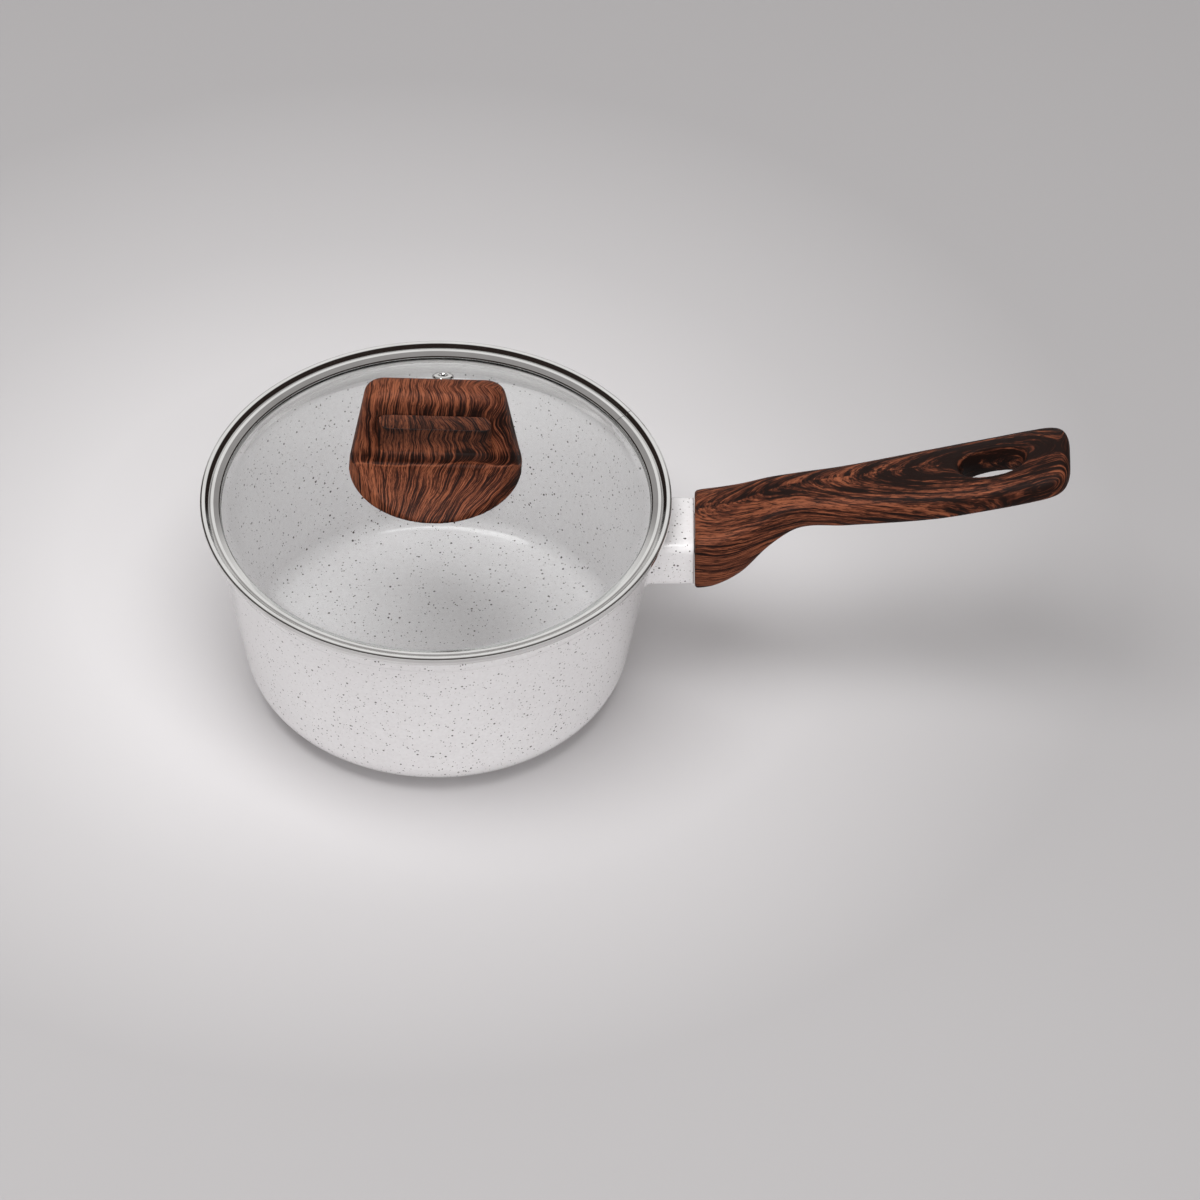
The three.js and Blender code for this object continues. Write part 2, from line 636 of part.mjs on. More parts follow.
function knob() {
    const beyondR = KNOB_R + 2;
    const plan = revolve([
        point(0, KNOB_EDGE_Z - KNOB_TOOL_REACH),
        point(KNOB_R, KNOB_EDGE_Z - KNOB_TOOL_REACH),
        point(KNOB_R, KNOB_EDGE_Z + KNOB_EDGE_H),
        point(KNOB_R - SKIRT_LEAN, KNOB_CREASE_Z),
        point(KNOB_R - SKIRT_LEAN, KNOB_TOP_Z + 1),
        point(0, KNOB_TOP_Z + 1),
    ]);
    const body = intersect(
        plan,
        extrudeAlongY(knobFront(), 2 * beyondR),
        extrudeAlongX(knobSide(), -beyondR, beyondR, 6),
    );
    const underside = revolve([
        point(0, KNOB_EDGE_Z - 2 * KNOB_TOOL_REACH),
        point(beyondR, KNOB_EDGE_Z - 2 * KNOB_TOOL_REACH),
        ...dome((r) => glassTopZ(r) + 2 * GAP, beyondR, 0, 5),
    ]);
    const gasketPocket = cylinder(TOP_GASKET_R + GAP, KNOB_EDGE_Z, TOP_GASKET_Z + GAP);
    const insertPocket = cylinder(INSERT_R + GAP, KNOB_EDGE_Z, INSERT_TOP_Z + GAP);
    return piece('knob', cut(body, underside, gasketPocket, insertPocket), 'bakelite');
}

function knobInsert() {
    const geometry = ring(KNOB_SCREW_R + GAP, INSERT_R, TOP_GASKET_Z + 2 * GAP, INSERT_TOP_Z);
    return piece('knob_insert', geometry, 'brass');
}

function knobTopGasket() {
    const outline = [
        ...dome((r) => glassTopZ(r) + GAP, GLASS_HOLE_R, TOP_GASKET_R, 2),
        point(TOP_GASKET_R, TOP_GASKET_Z),
        point(GLASS_HOLE_R, TOP_GASKET_Z),
    ];
    return piece('knob_top_gasket', revolve(outline, SMALL_STEPS), 'silicone');
}

// Undersides of the stack below the glass.
const UNDER_GASKET_Z = glassBottomZ(0) - GAP - BOTTOM_GASKET_T;
const UNDER_WASHER_Z = UNDER_GASKET_Z - GAP - WASHER_T;
const UNDER_SPRING_Z = UNDER_WASHER_Z - GAP - WASHER_T;

// Gasket with a collar that keeps the screw clear of the hole in the glass.
function knobBottomGasket() {
    const collarR = GLASS_HOLE_R - GAP;
    const collarTopZ = glassTopZ(0) - 1;
    const outline = [
        point(KNOB_SCREW_R + GAP, UNDER_GASKET_Z),
        point(BOTTOM_GASKET_R, UNDER_GASKET_Z),
        ...dome((r) => glassBottomZ(r) - GAP, BOTTOM_GASKET_R, collarR, 1),
        point(collarR, collarTopZ),
        point(KNOB_SCREW_R + GAP, collarTopZ),
    ];
    return piece('knob_bottom_gasket', revolve(outline, SMALL_STEPS), 'silicone');
}

function knobWasher() {
    const geometry = ring(KNOB_SCREW_R + GAP, WASHER_R, UNDER_WASHER_Z, UNDER_GASKET_Z - GAP);
    return piece('knob_washer', geometry, 'steel');
}

function knobSpringWasher() {
    const innerR = KNOB_SCREW_R + GAP;
    const geometry = splitRing(innerR, SPRING_WASHER_R, UNDER_SPRING_Z, UNDER_WASHER_Z - GAP);
    return piece('knob_spring_washer', geometry, 'steel');
}

function knobScrew() {
    const headTopZ = UNDER_SPRING_Z - GAP;
    const [headR, headH] = [KNOB_SCREW_HEAD_R, KNOB_SCREW_HEAD_H];
    const geometry = screw(headR, headH, KNOB_SCREW_R, headTopZ, INSERT_TOP_Z - GAP, 0);
    return piece('knob_screw', geometry, 'steel');
}

// ---------------------------------------------------------------- assembly

const pan = new THREE.Group();
pan.add(panBody(), baseDisc(), handleBracket(), handle(), handleScrew(), handleLockWasher());

const lid = new THREE.Group();
lid.add(lidGlass(), lidRim(), ventEyelet(), ventCollar());
lid.add(knob(), knobInsert(), knobTopGasket(), knobBottomGasket());
lid.add(knobWasher(), knobSpringWasher(), knobScrew());
lid.rotation.z = LID_TURN;

const group = new THREE.Group();
group.add(pan, lid);

export default group;
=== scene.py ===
import json
import math

import bmesh
import bpy
import numpy as np
from mathutils import Matrix, Vector


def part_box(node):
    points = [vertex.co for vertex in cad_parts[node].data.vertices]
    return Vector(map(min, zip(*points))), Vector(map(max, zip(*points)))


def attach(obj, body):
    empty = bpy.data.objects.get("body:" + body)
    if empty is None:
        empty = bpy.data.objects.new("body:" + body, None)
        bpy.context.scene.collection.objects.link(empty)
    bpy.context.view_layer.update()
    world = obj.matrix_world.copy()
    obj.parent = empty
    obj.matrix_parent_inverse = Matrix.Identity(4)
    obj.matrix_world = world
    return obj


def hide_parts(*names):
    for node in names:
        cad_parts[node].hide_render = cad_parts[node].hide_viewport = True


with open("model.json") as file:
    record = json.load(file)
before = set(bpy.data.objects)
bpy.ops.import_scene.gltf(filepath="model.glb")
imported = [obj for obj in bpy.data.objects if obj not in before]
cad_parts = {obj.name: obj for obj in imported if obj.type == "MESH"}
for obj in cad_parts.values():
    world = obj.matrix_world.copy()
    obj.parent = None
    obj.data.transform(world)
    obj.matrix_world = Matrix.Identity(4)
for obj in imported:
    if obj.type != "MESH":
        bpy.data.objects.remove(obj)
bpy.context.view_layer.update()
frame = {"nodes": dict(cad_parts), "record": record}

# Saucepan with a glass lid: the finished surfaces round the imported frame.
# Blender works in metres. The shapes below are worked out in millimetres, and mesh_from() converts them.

MM = 0.001


# ---------------------------------------------------------------- sizes, read from the frame

def box_mm(node):
    """Lowest and highest corner of a CAD node, in millimetres."""
    lo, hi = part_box(node)
    return Vector(lo) / MM, Vector(hi) / MM


pan_lo, pan_hi = box_mm("pan_body")
disc_hi = box_mm("base_disc")[1]
rim_lo = box_mm("lid_rim")[0]
knob_lo, knob_hi = box_mm("knob")
handle_lo = box_mm("handle")[0]
bracket_lo, bracket_hi = box_mm("handle_bracket")
screw_lo, screw_hi = box_mm("handle_screw")

RIM_CREST = 1.1                       # the rim's crest above its widest line
RIM_Z = 90.0
RIM_R = 94.0
GAP = 0.3

WALL_TAPER = 0.178
WALL_R_AT_RIM = 90.3
WALL_T = 2.6
LIP_Z = pan_hi.z
LIP_BAND_H = 5.2
LIP_BAND_PROUD = 0.45
BASE_Z = pan_lo.z
CORNER_R = 18.5
FLOOR_Z = 9.0
FLOOR_FILLET_R = 8.0
DISC_R = disc_hi.x
DISC_T = disc_hi.z

GLASS_T = 3.5
GLASS_R = 170.0
GLASS_APEX_Z = RIM_Z + 21.6
GLASS_CENTRE_Z = GLASS_APEX_Z - GLASS_R
GLASS_HOLE_R = 3.6
GLASS_EDGE_R = 88.2
SHELF_Z = RIM_Z - 4.3
VENT_R = 61.0
LID_TURN = math.radians(-2.3)
RIM_SEAM_ANGLE = math.radians(33.6)

KNOB_R = 34.5
KNOB_EDGE_Z = knob_lo.z
KNOB_CREASE_Z = RIM_Z + 27.2
KNOB_TOP_Z = knob_hi.z


# ---------------------------------------------------------------- outline helpers

def arc(centre, radius, start, end, steps):
    """Points on an arc, angles in degrees, both ends included."""
    angles = np.radians(np.linspace(start, end, steps + 1))
    return [(centre[0] + radius * math.cos(a), centre[1] + radius * math.sin(a)) for a in angles]


def rounded(corners, steps=5):
    """A closed outline from (x, y, radius) corners, each rounded by its radius."""
    outline = []
    for i, (x, y, radius) in enumerate(corners):
        here = Vector((x, y))
        before = (Vector(corners[i - 1][:2]) - here).normalized()
        after = (Vector(corners[(i + 1) % len(corners)][:2]) - here).normalized()
        if radius == 0:
            outline.append((x, y))
            continue
        half = before.angle(after) / 2
        reach = radius / math.tan(half)
        centre = here + (before + after).normalized() * radius / math.sin(half)
        start, end = here + before * reach - centre, here + after * reach - centre
        turn = start.angle_signed(end)
        for step in range(steps + 1):
            spoke = Matrix.Rotation(-turn * step / steps, 2) @ start
            outline.append(tuple(centre + spoke))
    return outline


# ---------------------------------------------------------------- mesh helpers

def mesh_from(name, points_mm, faces):
    """A mesh object in metres from points in millimetres."""
    mesh = bpy.data.meshes.new(name)
    mesh.from_pydata([tuple(c * MM for c in p) for p in points_mm], [], faces)
    mesh.validate()
    work = bmesh.new()
    work.from_mesh(mesh)
    bmesh.ops.remove_doubles(work, verts=work.verts, dist=1e-7)
    bmesh.ops.recalc_face_normals(work, faces=work.faces)
    work.to_mesh(mesh)
    work.free()
    piece = bpy.data.objects.new(name, mesh)
    bpy.context.scene.collection.objects.link(piece)
    return piece


def skin(name, rings, closed_ends=True, wrap=False):
    """Joins rings of equal length into one surface. wrap joins the last ring to the first."""
    count = len(rings[0])
    points = [p for ring in rings for p in ring]
    faces = []
    pairs = list(range(len(rings) - 1)) + ([len(rings) - 1] if wrap else [])
    for row in pairs:
        a, b = row * count, (row + 1) % len(rings) * count
        for i in range(count):
            j = (i + 1) % count
            faces.append((a + i, a + j, b + j, b + i))
    if closed_ends and not wrap:
        faces.append(tuple(range(count)))
        faces.append(tuple(range((len(rings) - 1) * count, len(rings) * count)))
    return mesh_from(name, points, faces)


def revolve(name, outline, steps=192, start=0.0, sweep=2 * math.pi):
    """Turns a closed (radius, height) outline about Z. A sweep under a full turn leaves a slit."""
    full = sweep >= 2 * math.pi - 1e-9
    count = steps if full else steps + 1
    rings = []
    for i in range(count):
        angle = start + sweep * i / steps
        cos, sin = math.cos(angle), math.sin(angle)
        rings.append([(max(r, 0) * cos, max(r, 0) * sin, z) for r, z in outline])
    return skin(name, rings, wrap=full)


def apply_modifiers(piece):
    """Replaces the piece's mesh by the result of its modifiers."""
    bpy.context.view_layer.update()
    made = bpy.data.meshes.new_from_object(piece.evaluated_get(bpy.context.evaluated_depsgraph_get()))
    old = piece.data
    piece.modifiers.clear()
    piece.data = made
    bpy.data.meshes.remove(old)
    made.name = piece.name
    return piece


def combine(piece, operation, *tools):
    """Cuts (DIFFERENCE), keeps the overlap (INTERSECT) or joins (UNION); the tools are then removed."""
    for tool in tools:
        step = piece.modifiers.new(operation, "BOOLEAN")
        step.operation = operation
        step.solver = "EXACT"
        step.object = tool
        apply_modifiers(piece)
        bpy.data.objects.remove(tool)
    return piece


def remesh_soft(piece, voxel_mm, smooth_steps):
    """Even mesh with slightly rounded edges, as a moulding has."""
    remesh = piece.modifiers.new("remesh", "REMESH")
    remesh.mode = "VOXEL"
    remesh.voxel_size = voxel_mm * MM
    smooth = piece.modifiers.new("smooth", "SMOOTH")
    smooth.factor = 0.5
    smooth.iterations = smooth_steps
    return apply_modifiers(piece)


def finish_piece(piece, node, material, sharp_degrees=35):
    """Shades the piece, gives it its material and puts it on the body of the node it replaces."""
    piece.data.shade_smooth()
    if sharp_degrees:
        piece.data.set_sharp_from_angle(angle=math.radians(sharp_degrees))
    piece.data.materials.clear()
    piece.data.materials.append(material)
    body = next(b for b, nodes in frame["record"]["behaviour"]["bodies"].items() if node in nodes)
    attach(piece, body)
    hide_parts(node)
    return piece


# ---------------------------------------------------------------- material helpers

class Nodes:
    """A short way to build one material's node tree."""

    def __init__(self, name, owner=None):
        self.owner = owner or bpy.data.materials.new(name)
        self.owner.use_nodes = True
        self.tree = self.owner.node_tree
        self.shader = self.tree.nodes.get("Principled BSDF")
        self.output = self.tree.nodes.get("Material Output")

    def add(self, kind, settings=None, **inputs):
        node = self.tree.nodes.new(kind)
        for key, value in (settings or {}).items():
            setattr(node, key, value)
        for key, value in inputs.items():
            self.feed(node, key.replace("_", " "), value)
        return node

    def feed(self, node, key, value):
        socket = node.inputs[int(key) if key.isdigit() else key]
        if isinstance(value, bpy.types.NodeSocket):
            self.tree.links.new(value, socket)
        else:
            socket.default_value = value

    def set(self, **inputs):
        for key, value in inputs.items():
            self.feed(self.shader, key.replace("_", " "), value)

    def math(self, operation, a, b=0.0, c=None):
        node = self.add("ShaderNodeMath", {"operation": operation})
        for index, value in enumerate((a, b) if c is None else (a, b, c)):
            self.feed(node, str(index), value)
        return node.outputs[0]

    def vector_math(self, operation, a, b=None, scale=None):
        node = self.add("ShaderNodeVectorMath", {"operation": operation})
        self.feed(node, "0", a)
        if b is not None:
            self.feed(node, "1", b)
        if scale is not None:
            node.inputs["Scale"].default_value = scale
        return node.outputs["Value" if operation in ("LENGTH", "DOT_PRODUCT", "DISTANCE") else "Vector"]

    def place(self):
        return self.add("ShaderNodeTexCoord").outputs["Object"]

    def separate(self, vector):
        return self.add("ShaderNodeSeparateXYZ", Vector=vector).outputs

    def combine(self, x, y, z):
        node = self.add("ShaderNodeCombineXYZ")
        for index, value in enumerate((x, y, z)):
            self.feed(node, str(index), value)
        return node.outputs[0]

    def noise(self, vector, scale, detail=2.0, roughness=0.5):
        node = self.add("ShaderNodeTexNoise", Vector=vector, Scale=scale, Detail=detail)
        node.inputs["Roughness"].default_value = roughness
        return node.outputs

    def hypotenuse(self, a, b):
        return self.math("SQRT", self.math("ADD", self.math("MULTIPLY", a, a), self.math("MULTIPLY", b, b)))

    def ramp(self, value, stops, interpolation="LINEAR"):
        node = self.add("ShaderNodeValToRGB", Fac=value)
        ramp = node.color_ramp
        ramp.interpolation = interpolation
        ramp.elements[0].position, ramp.elements[1].position = stops[0][0], stops[-1][0]
        for position, _ in stops[1:-1]:
            ramp.elements.new(position)
        for element, (_, colour) in zip(ramp.elements, stops):
            element.color = (*colour, 1)
        return node.outputs["Color"]

    def fade(self, value, low, high):
        """0 below low and 1 above high; low may be the larger."""
        node = self.add("ShaderNodeMapRange", Value=value)
        node.inputs["From Min"].default_value = low
        node.inputs["From Max"].default_value = high
        return node.outputs[0]

    def mix(self, factor, a, b, blend="MIX"):
        node = self.add("ShaderNodeMix", {"data_type": "RGBA", "blend_type": blend})
        self.feed(node, "0", factor)
        self.feed(node, "6", a if isinstance(a, bpy.types.NodeSocket) else (*a, 1))
        self.feed(node, "7", b if isinstance(b, bpy.types.NodeSocket) else (*b, 1))
        return node.outputs[2]

    def bump(self, height, strength, distance_mm):
        node = self.add("ShaderNodeBump", Height=height, Strength=strength)
        node.inputs["Distance"].default_value = distance_mm * MM
        self.feed(self.shader, "Normal", node.outputs[0])


def per_mm(millimetres):
    """Texture scale that gives features of this size."""
    return 1 / (millimetres * MM)


# ---------------------------------------------------------------- materials

def speckles(nodes, place, cell_mm, radius_mm, share):
    """Mask of irregular round specks: one possible speck a cell, present in a share of the cells."""
    voronoi = nodes.add("ShaderNodeTexVoronoi", {"voronoi_dimensions": "3D"}, Vector=place)
    voronoi.inputs["Scale"].default_value = per_mm(cell_mm)
    chance = nodes.separate(voronoi.outputs["Color"])
    size = nodes.math("MULTIPLY_ADD", chance[1], radius_mm / cell_mm * 0.75, radius_mm / cell_mm * 0.3)
    near = nodes.math("SUBTRACT", size, voronoi.outputs["Distance"])
    soft = nodes.fade(near, 0.0, 0.06 * radius_mm / cell_mm + 0.008)
    present = nodes.math("LESS_THAN", chance[0], share)
    return nodes.math("MULTIPLY", soft, present), chance[2]


def coating_material():
    """Warm white non-stick coating with dark mineral specks of several sizes, satin, slightly uneven."""
    nodes = Nodes("speckled_coating")
    place = nodes.place()
    wobble = nodes.noise(place, per_mm(0.7), detail=2.0)["Color"]
    shifted = nodes.vector_math("SCALE", wobble, scale=0.00025)
    warped = nodes.vector_math("ADD", place, shifted)
    cloud = nodes.noise(place, per_mm(38), detail=3.0)["Fac"]
    base = nodes.ramp(cloud, [(0.3, (0.765, 0.750, 0.755)), (0.7, (0.800, 0.788, 0.792))])
    mottle = nodes.noise(place, per_mm(1.6), detail=3.0, roughness=0.6)["Fac"]
    tint = nodes.ramp(mottle, [(0.35, (0.94, 0.935, 0.935)), (0.62, (1, 1, 1))])
    colour = nodes.mix(1.0, base, tint, "MULTIPLY")
    layers = [(2.6, 0.48, 0.8, (0.016, 0.012, 0.012)), (1.7, 0.34, 0.8, (0.030, 0.026, 0.025)),
              (1.2, 0.20, 0.8, (0.13, 0.12, 0.118))]
    for cell_mm, radius_mm, share, dark in layers:
        mask, tone = speckles(nodes, warped, cell_mm, radius_mm, share)
        warm = tuple(min(1, c * w) for c, w in zip(dark, (2.6, 2.2, 1.9)))
        speck = nodes.mix(tone, dark, warm)
        colour = nodes.mix(mask, colour, speck)
    nodes.set(Base_Color=colour, Coat_Weight=0.8, Coat_Roughness=0.1, IOR=1.5)
    nodes.set(Roughness=nodes.fade(mottle, -0.9, 2.2))
    peel = nodes.noise(place, per_mm(0.9), detail=3.0)["Fac"]
    nodes.bump(peel, 0.12, 0.12)
    return nodes.owner


DARK_GRAIN = (0.0085, 0.0027, 0.0015)
DEEP_GRAIN = (0.040, 0.0110, 0.0056)
MID_GRAIN = (0.112, 0.0315, 0.0150)
LIGHT_GRAIN = (0.250, 0.078, 0.036)


def wander(nodes, place, size_mm, reach_mm):
    """Place pushed about by smooth noise, so that grain drifts."""
    noise = nodes.noise(place, per_mm(size_mm), detail=1.5, roughness=0.45)["Color"]
    push = nodes.vector_math("SUBTRACT", noise, (0.5, 0.5, 0.5))
    return nodes.vector_math("ADD", place, nodes.vector_math("SCALE", push, scale=2 * reach_mm * MM))


def wood_print(nodes, rings, along, around, seed, tone):
    """Wood-grain print on satin bakelite: dark lines where rings is constant, long in the other two.

    tone shifts the print to lighter or darker wood; 0.5 leaves it as it is.
    """
    def streaks(ring_mm, length_mm, detail, roughness=0.55):
        grain = nodes.combine(nodes.math("MULTIPLY_ADD", rings, per_mm(ring_mm), seed),
                              nodes.math("MULTIPLY", along, per_mm(length_mm)),
                              nodes.math("MULTIPLY", around, per_mm(length_mm)))
        return nodes.noise(grain, 1.0, detail=detail, roughness=roughness)["Fac"]

    bands = streaks(4.8, 110, 1.5, 0.45)
    lines = streaks(1.15, 26, 4.0, 0.74)
    dashes = streaks(0.42, 5.0, 2.0)
    pores = streaks(0.36, 4.5, 2.0)
    depth = nodes.math("MULTIPLY_ADD", nodes.math("SUBTRACT", bands, 0.5), 0.4, lines)
    depth = nodes.math("ADD", depth, nodes.math("SUBTRACT", tone, 0.5))
    colour = nodes.ramp(depth, [(0.40, DARK_GRAIN), (0.455, DEEP_GRAIN),
                                (0.53, MID_GRAIN), (0.66, LIGHT_GRAIN)])
    pore_mask = nodes.fade(pores, 0.475, 0.415)
    colour = nodes.mix(nodes.math("MULTIPLY", pore_mask, 0.85), colour, DARK_GRAIN)
    dash_mask = nodes.math("MULTIPLY", nodes.fade(dashes, 0.54, 0.60), nodes.fade(depth, 0.44, 0.52))
    colour = nodes.mix(nodes.math("MULTIPLY", dash_mask, 0.7), colour, LIGHT_GRAIN)
    nodes.set(Base_Color=colour, IOR=1.45, Roughness=nodes.fade(pores, -1.1, 1.6))
    nodes.shader.inputs["Specular IOR Level"].default_value = 0.12
    nodes.bump(nodes.math("SUBTRACT", 1.0, pore_mask), 0.2, 0.04)
    return nodes.owner


def handle_print_material():
    """Nested arches along the top that run out into streaks down the sides, bending with the handle."""
    nodes = Nodes("handle_wood_print")
    x, y, z = nodes.separate(nodes.place())
    bend = nodes.add("ShaderNodeMapRange", {"interpolation_type": "SMOOTHSTEP"}, Value=x)
    for socket, millimetres in (("From Min", 108), ("From Max", 150), ("To Min", -17), ("To Max", 0)):
        bend.inputs[socket].default_value = millimetres * MM
    straight = nodes.combine(x, y, nodes.math("SUBTRACT", z, bend.outputs[0]))
    centred = nodes.vector_math("SUBTRACT", straight, (0.150, 0.003, 0.104))
    drifted = wander(nodes, wander(nodes, centred, 52, 2.4), 14, 0.5)
    along, across, up = nodes.separate(drifted)
    across = nodes.math("MULTIPLY", across, 0.8)
    squared = nodes.math("ADD", nodes.math("MULTIPLY", across, across), nodes.math("MULTIPLY", up, up))
    rings = nodes.math("MULTIPLY_ADD", squared, 1 / (18 * MM), nodes.math("MULTIPLY", along, -1 / 6))
    around = nodes.math("MULTIPLY", nodes.math("ARCTAN2", across, up), 10 * MM)
    tones = [(0.0, 0.52), (0.35, 0.475), (0.8, 0.425), (1.0, 0.405)]
    tone = nodes.ramp(nodes.fade(x, 0.095, 0.240), [(at, (v, v, v)) for at, v in tones])
    return wood_print(nodes, rings, along, around, 3.7, tone)


def knob_print_material():
    """Streaks fan out up the skirt, swing back across the window sill and arch over the top bar."""
    nodes = Nodes("knob_wood_print")
    x, y, z = nodes.separate(wander(nodes, wander(nodes, nodes.place(), 18, 3.2), 7, 0.6))
    outward = nodes.math("MULTIPLY", nodes.math("ABSOLUTE", y), 0.682)
    rise = nodes.math("SUBTRACT", nodes.math("MULTIPLY", z, 0.731), outward)
    level = nodes.fade(rise, 0.056, 0.114)
    spreads = [(0.0, 0.5), (0.41, 1.02), (0.50, 1.0), (0.62, 0.88), (0.74, 0.86), (0.87, 1.0), (1.0, 0.80)]
    # Tone is set band by band with height along rise, and a little darker towards +x. The thin light line at
    # level 0.412, along the crease, is a painted highlight.
    tones = [(0.0, 0.46), (0.2, 0.51), (0.38, 0.49), (0.405, 0.50), (0.412, 0.60), (0.422, 0.44),
             (0.47, 0.40), (0.52, 0.53), (0.62, 0.45), (0.76, 0.44), (0.86, 0.53), (1.0, 0.54)]
    spread = nodes.ramp(level, [(at, (v, v, v)) for at, v in spreads], "B_SPLINE")
    tone = nodes.ramp(level, [(at, (v, v, v)) for at, v in tones])
    tone = nodes.math("MULTIPLY_ADD", x, -1.3, nodes.math("ADD", tone, 0.012))
    across = nodes.math("DIVIDE", nodes.math("MULTIPLY_ADD", x, 1.45, 0.030), spread)
    return wood_print(nodes, across, rise, y, 9.4, tone)


def steel_material(name, roughness, line_mm, line_strength):
    """Turned or polished steel: fine lines run round the piece's axis."""
    nodes = Nodes(name)
    place = nodes.place()
    x, y, z = nodes.separate(place)
    radius = nodes.hypotenuse(x, y)
    rings = nodes.combine(radius, z, 0.0)
    fine = nodes.noise(rings, per_mm(line_mm), detail=3.0)["Fac"]
    smudge = nodes.noise(place, per_mm(14), detail=3.0)["Fac"]
    colour = nodes.ramp(smudge, [(0.3, (0.66, 0.655, 0.645)), (0.7, (0.74, 0.735, 0.725))])
    nodes.set(Metallic=1.0, Base_Color=colour)
    nodes.set(Roughness=nodes.math("MULTIPLY_ADD", smudge, roughness * 0.8, roughness * 0.5))
    nodes.bump(fine, line_strength, 0.02)
    return nodes.owner


def glass_material():
    """Clear tempered glass. It bends what is seen through it, and lets other light pass as a pane would."""
    nodes = Nodes("lid_clear_glass")
    nodes.set(Base_Color=(0.975, 0.98, 0.98, 1), Transmission_Weight=1.0, Roughness=0.0, IOR=1.46)
    light_path = nodes.add("ShaderNodeLightPath")
    clear = nodes.add("ShaderNodeBsdfTransparent", Color=(0.90, 0.905, 0.905, 1))
    mixed = nodes.add("ShaderNodeMixShader")
    mirrored = nodes.math("GREATER_THAN", light_path.outputs["Is Glossy Ray"],
                          light_path.outputs["Is Transmission Ray"])
    indirect = nodes.math("MAXIMUM", mirrored, light_path.outputs["Is Diffuse Ray"])
    nodes.feed(mixed, "0", nodes.math("MAXIMUM", light_path.outputs["Is Shadow Ray"], indirect))
    nodes.feed(mixed, "1", nodes.shader.outputs[0])
    nodes.feed(mixed, "2", clear.outputs[0])
    nodes.tree.links.new(mixed.outputs[0], nodes.output.inputs["Surface"])
    return nodes.owner


def base_disc_material():
    """Satin steel induction disc with round aluminium dots pressed flush, in rings of holes."""
    nodes = Nodes("induction_disc")
    place = nodes.place()
    x, y, z = nodes.separate(place)
    radius = nodes.hypotenuse(x, y)
    fine = nodes.noise(nodes.combine(radius, z, 0.0), per_mm(0.5), detail=3.0)["Fac"]
    pitch = 6.0 * MM
    row = nodes.math("DIVIDE", y, pitch * math.sqrt(0.75))
    row_index = nodes.math("ROUND", row)
    column = nodes.math("ADD", nodes.math("DIVIDE", x, pitch), nodes.math("MULTIPLY", row_index, 0.5))
    dx = nodes.math("MULTIPLY", nodes.math("SUBTRACT", column, nodes.math("ROUND", column)), pitch)
    dy = nodes.math("MULTIPLY", nodes.math("SUBTRACT", row, row_index), pitch * math.sqrt(0.75))
    away = nodes.hypotenuse(dx, dy)
    inside = nodes.math("LESS_THAN", radius, 52 * MM)
    outside = nodes.math("GREATER_THAN", radius, 9 * MM)
    ring = nodes.math("MULTIPLY", inside, outside)
    dots = nodes.math("MULTIPLY", nodes.fade(away, 1.32 * MM, 1.2 * MM), ring)
    steel = nodes.ramp(fine, [(0.3, (0.50, 0.495, 0.485)), (0.7, (0.60, 0.595, 0.585))])
    nodes.set(Base_Color=nodes.mix(dots, steel, (0.72, 0.725, 0.73)), Metallic=1.0)
    nodes.set(Roughness=nodes.math("MULTIPLY_ADD", dots, 0.16, 0.3))
    nodes.bump(nodes.math("MULTIPLY_ADD", dots, -0.6, fine), 0.35, 0.04)
    return nodes.owner


def silicone_material():
    nodes = Nodes("silicone")
    place = nodes.place()
    cloud = nodes.noise(place, per_mm(3), detail=3.0)["Fac"]
    nodes.set(Base_Color=nodes.ramp(cloud, [(0.3, (0.66, 0.655, 0.64)), (0.7, (0.74, 0.735, 0.72))]))
    nodes.set(Roughness=nodes.fade(cloud, -1.2, 1.4), Subsurface_Weight=0.15)
    nodes.shader.inputs["Subsurface Radius"].default_value = (0.001, 0.001, 0.001)
    nodes.bump(cloud, 0.15, 0.05)
    return nodes.owner


def brass_material():
    nodes = Nodes("insert_brass")
    place = nodes.place()
    cloud = nodes.noise(place, per_mm(2), detail=3.0)["Fac"]
    nodes.set(Base_Color=nodes.ramp(cloud, [(0.3, (0.58, 0.40, 0.14)), (0.7, (0.68, 0.48, 0.19))]))
    nodes.set(Metallic=1.0, Roughness=nodes.fade(cloud, -0.3, 2.2))
    return nodes.owner


# ---------------------------------------------------------------- pan

wall_angle = math.degrees(math.atan(WALL_TAPER))
wall_across = WALL_T / math.cos(math.atan(WALL_TAPER))


def outer_wall_r(z):
    return WALL_R_AT_RIM + WALL_TAPER * (z - RIM_Z)


def inner_wall_r(z):
    return outer_wall_r(z) - wall_across


def corner_centre_r(wall_r, floor_z, radius):
    """Radius of the centre of the arc that joins a flat floor to the tapered wall."""
    slope = math.atan(WALL_TAPER)
    return wall_r(floor_z + radius * (1 - math.sin(slope))) - radius * math.cos(slope)


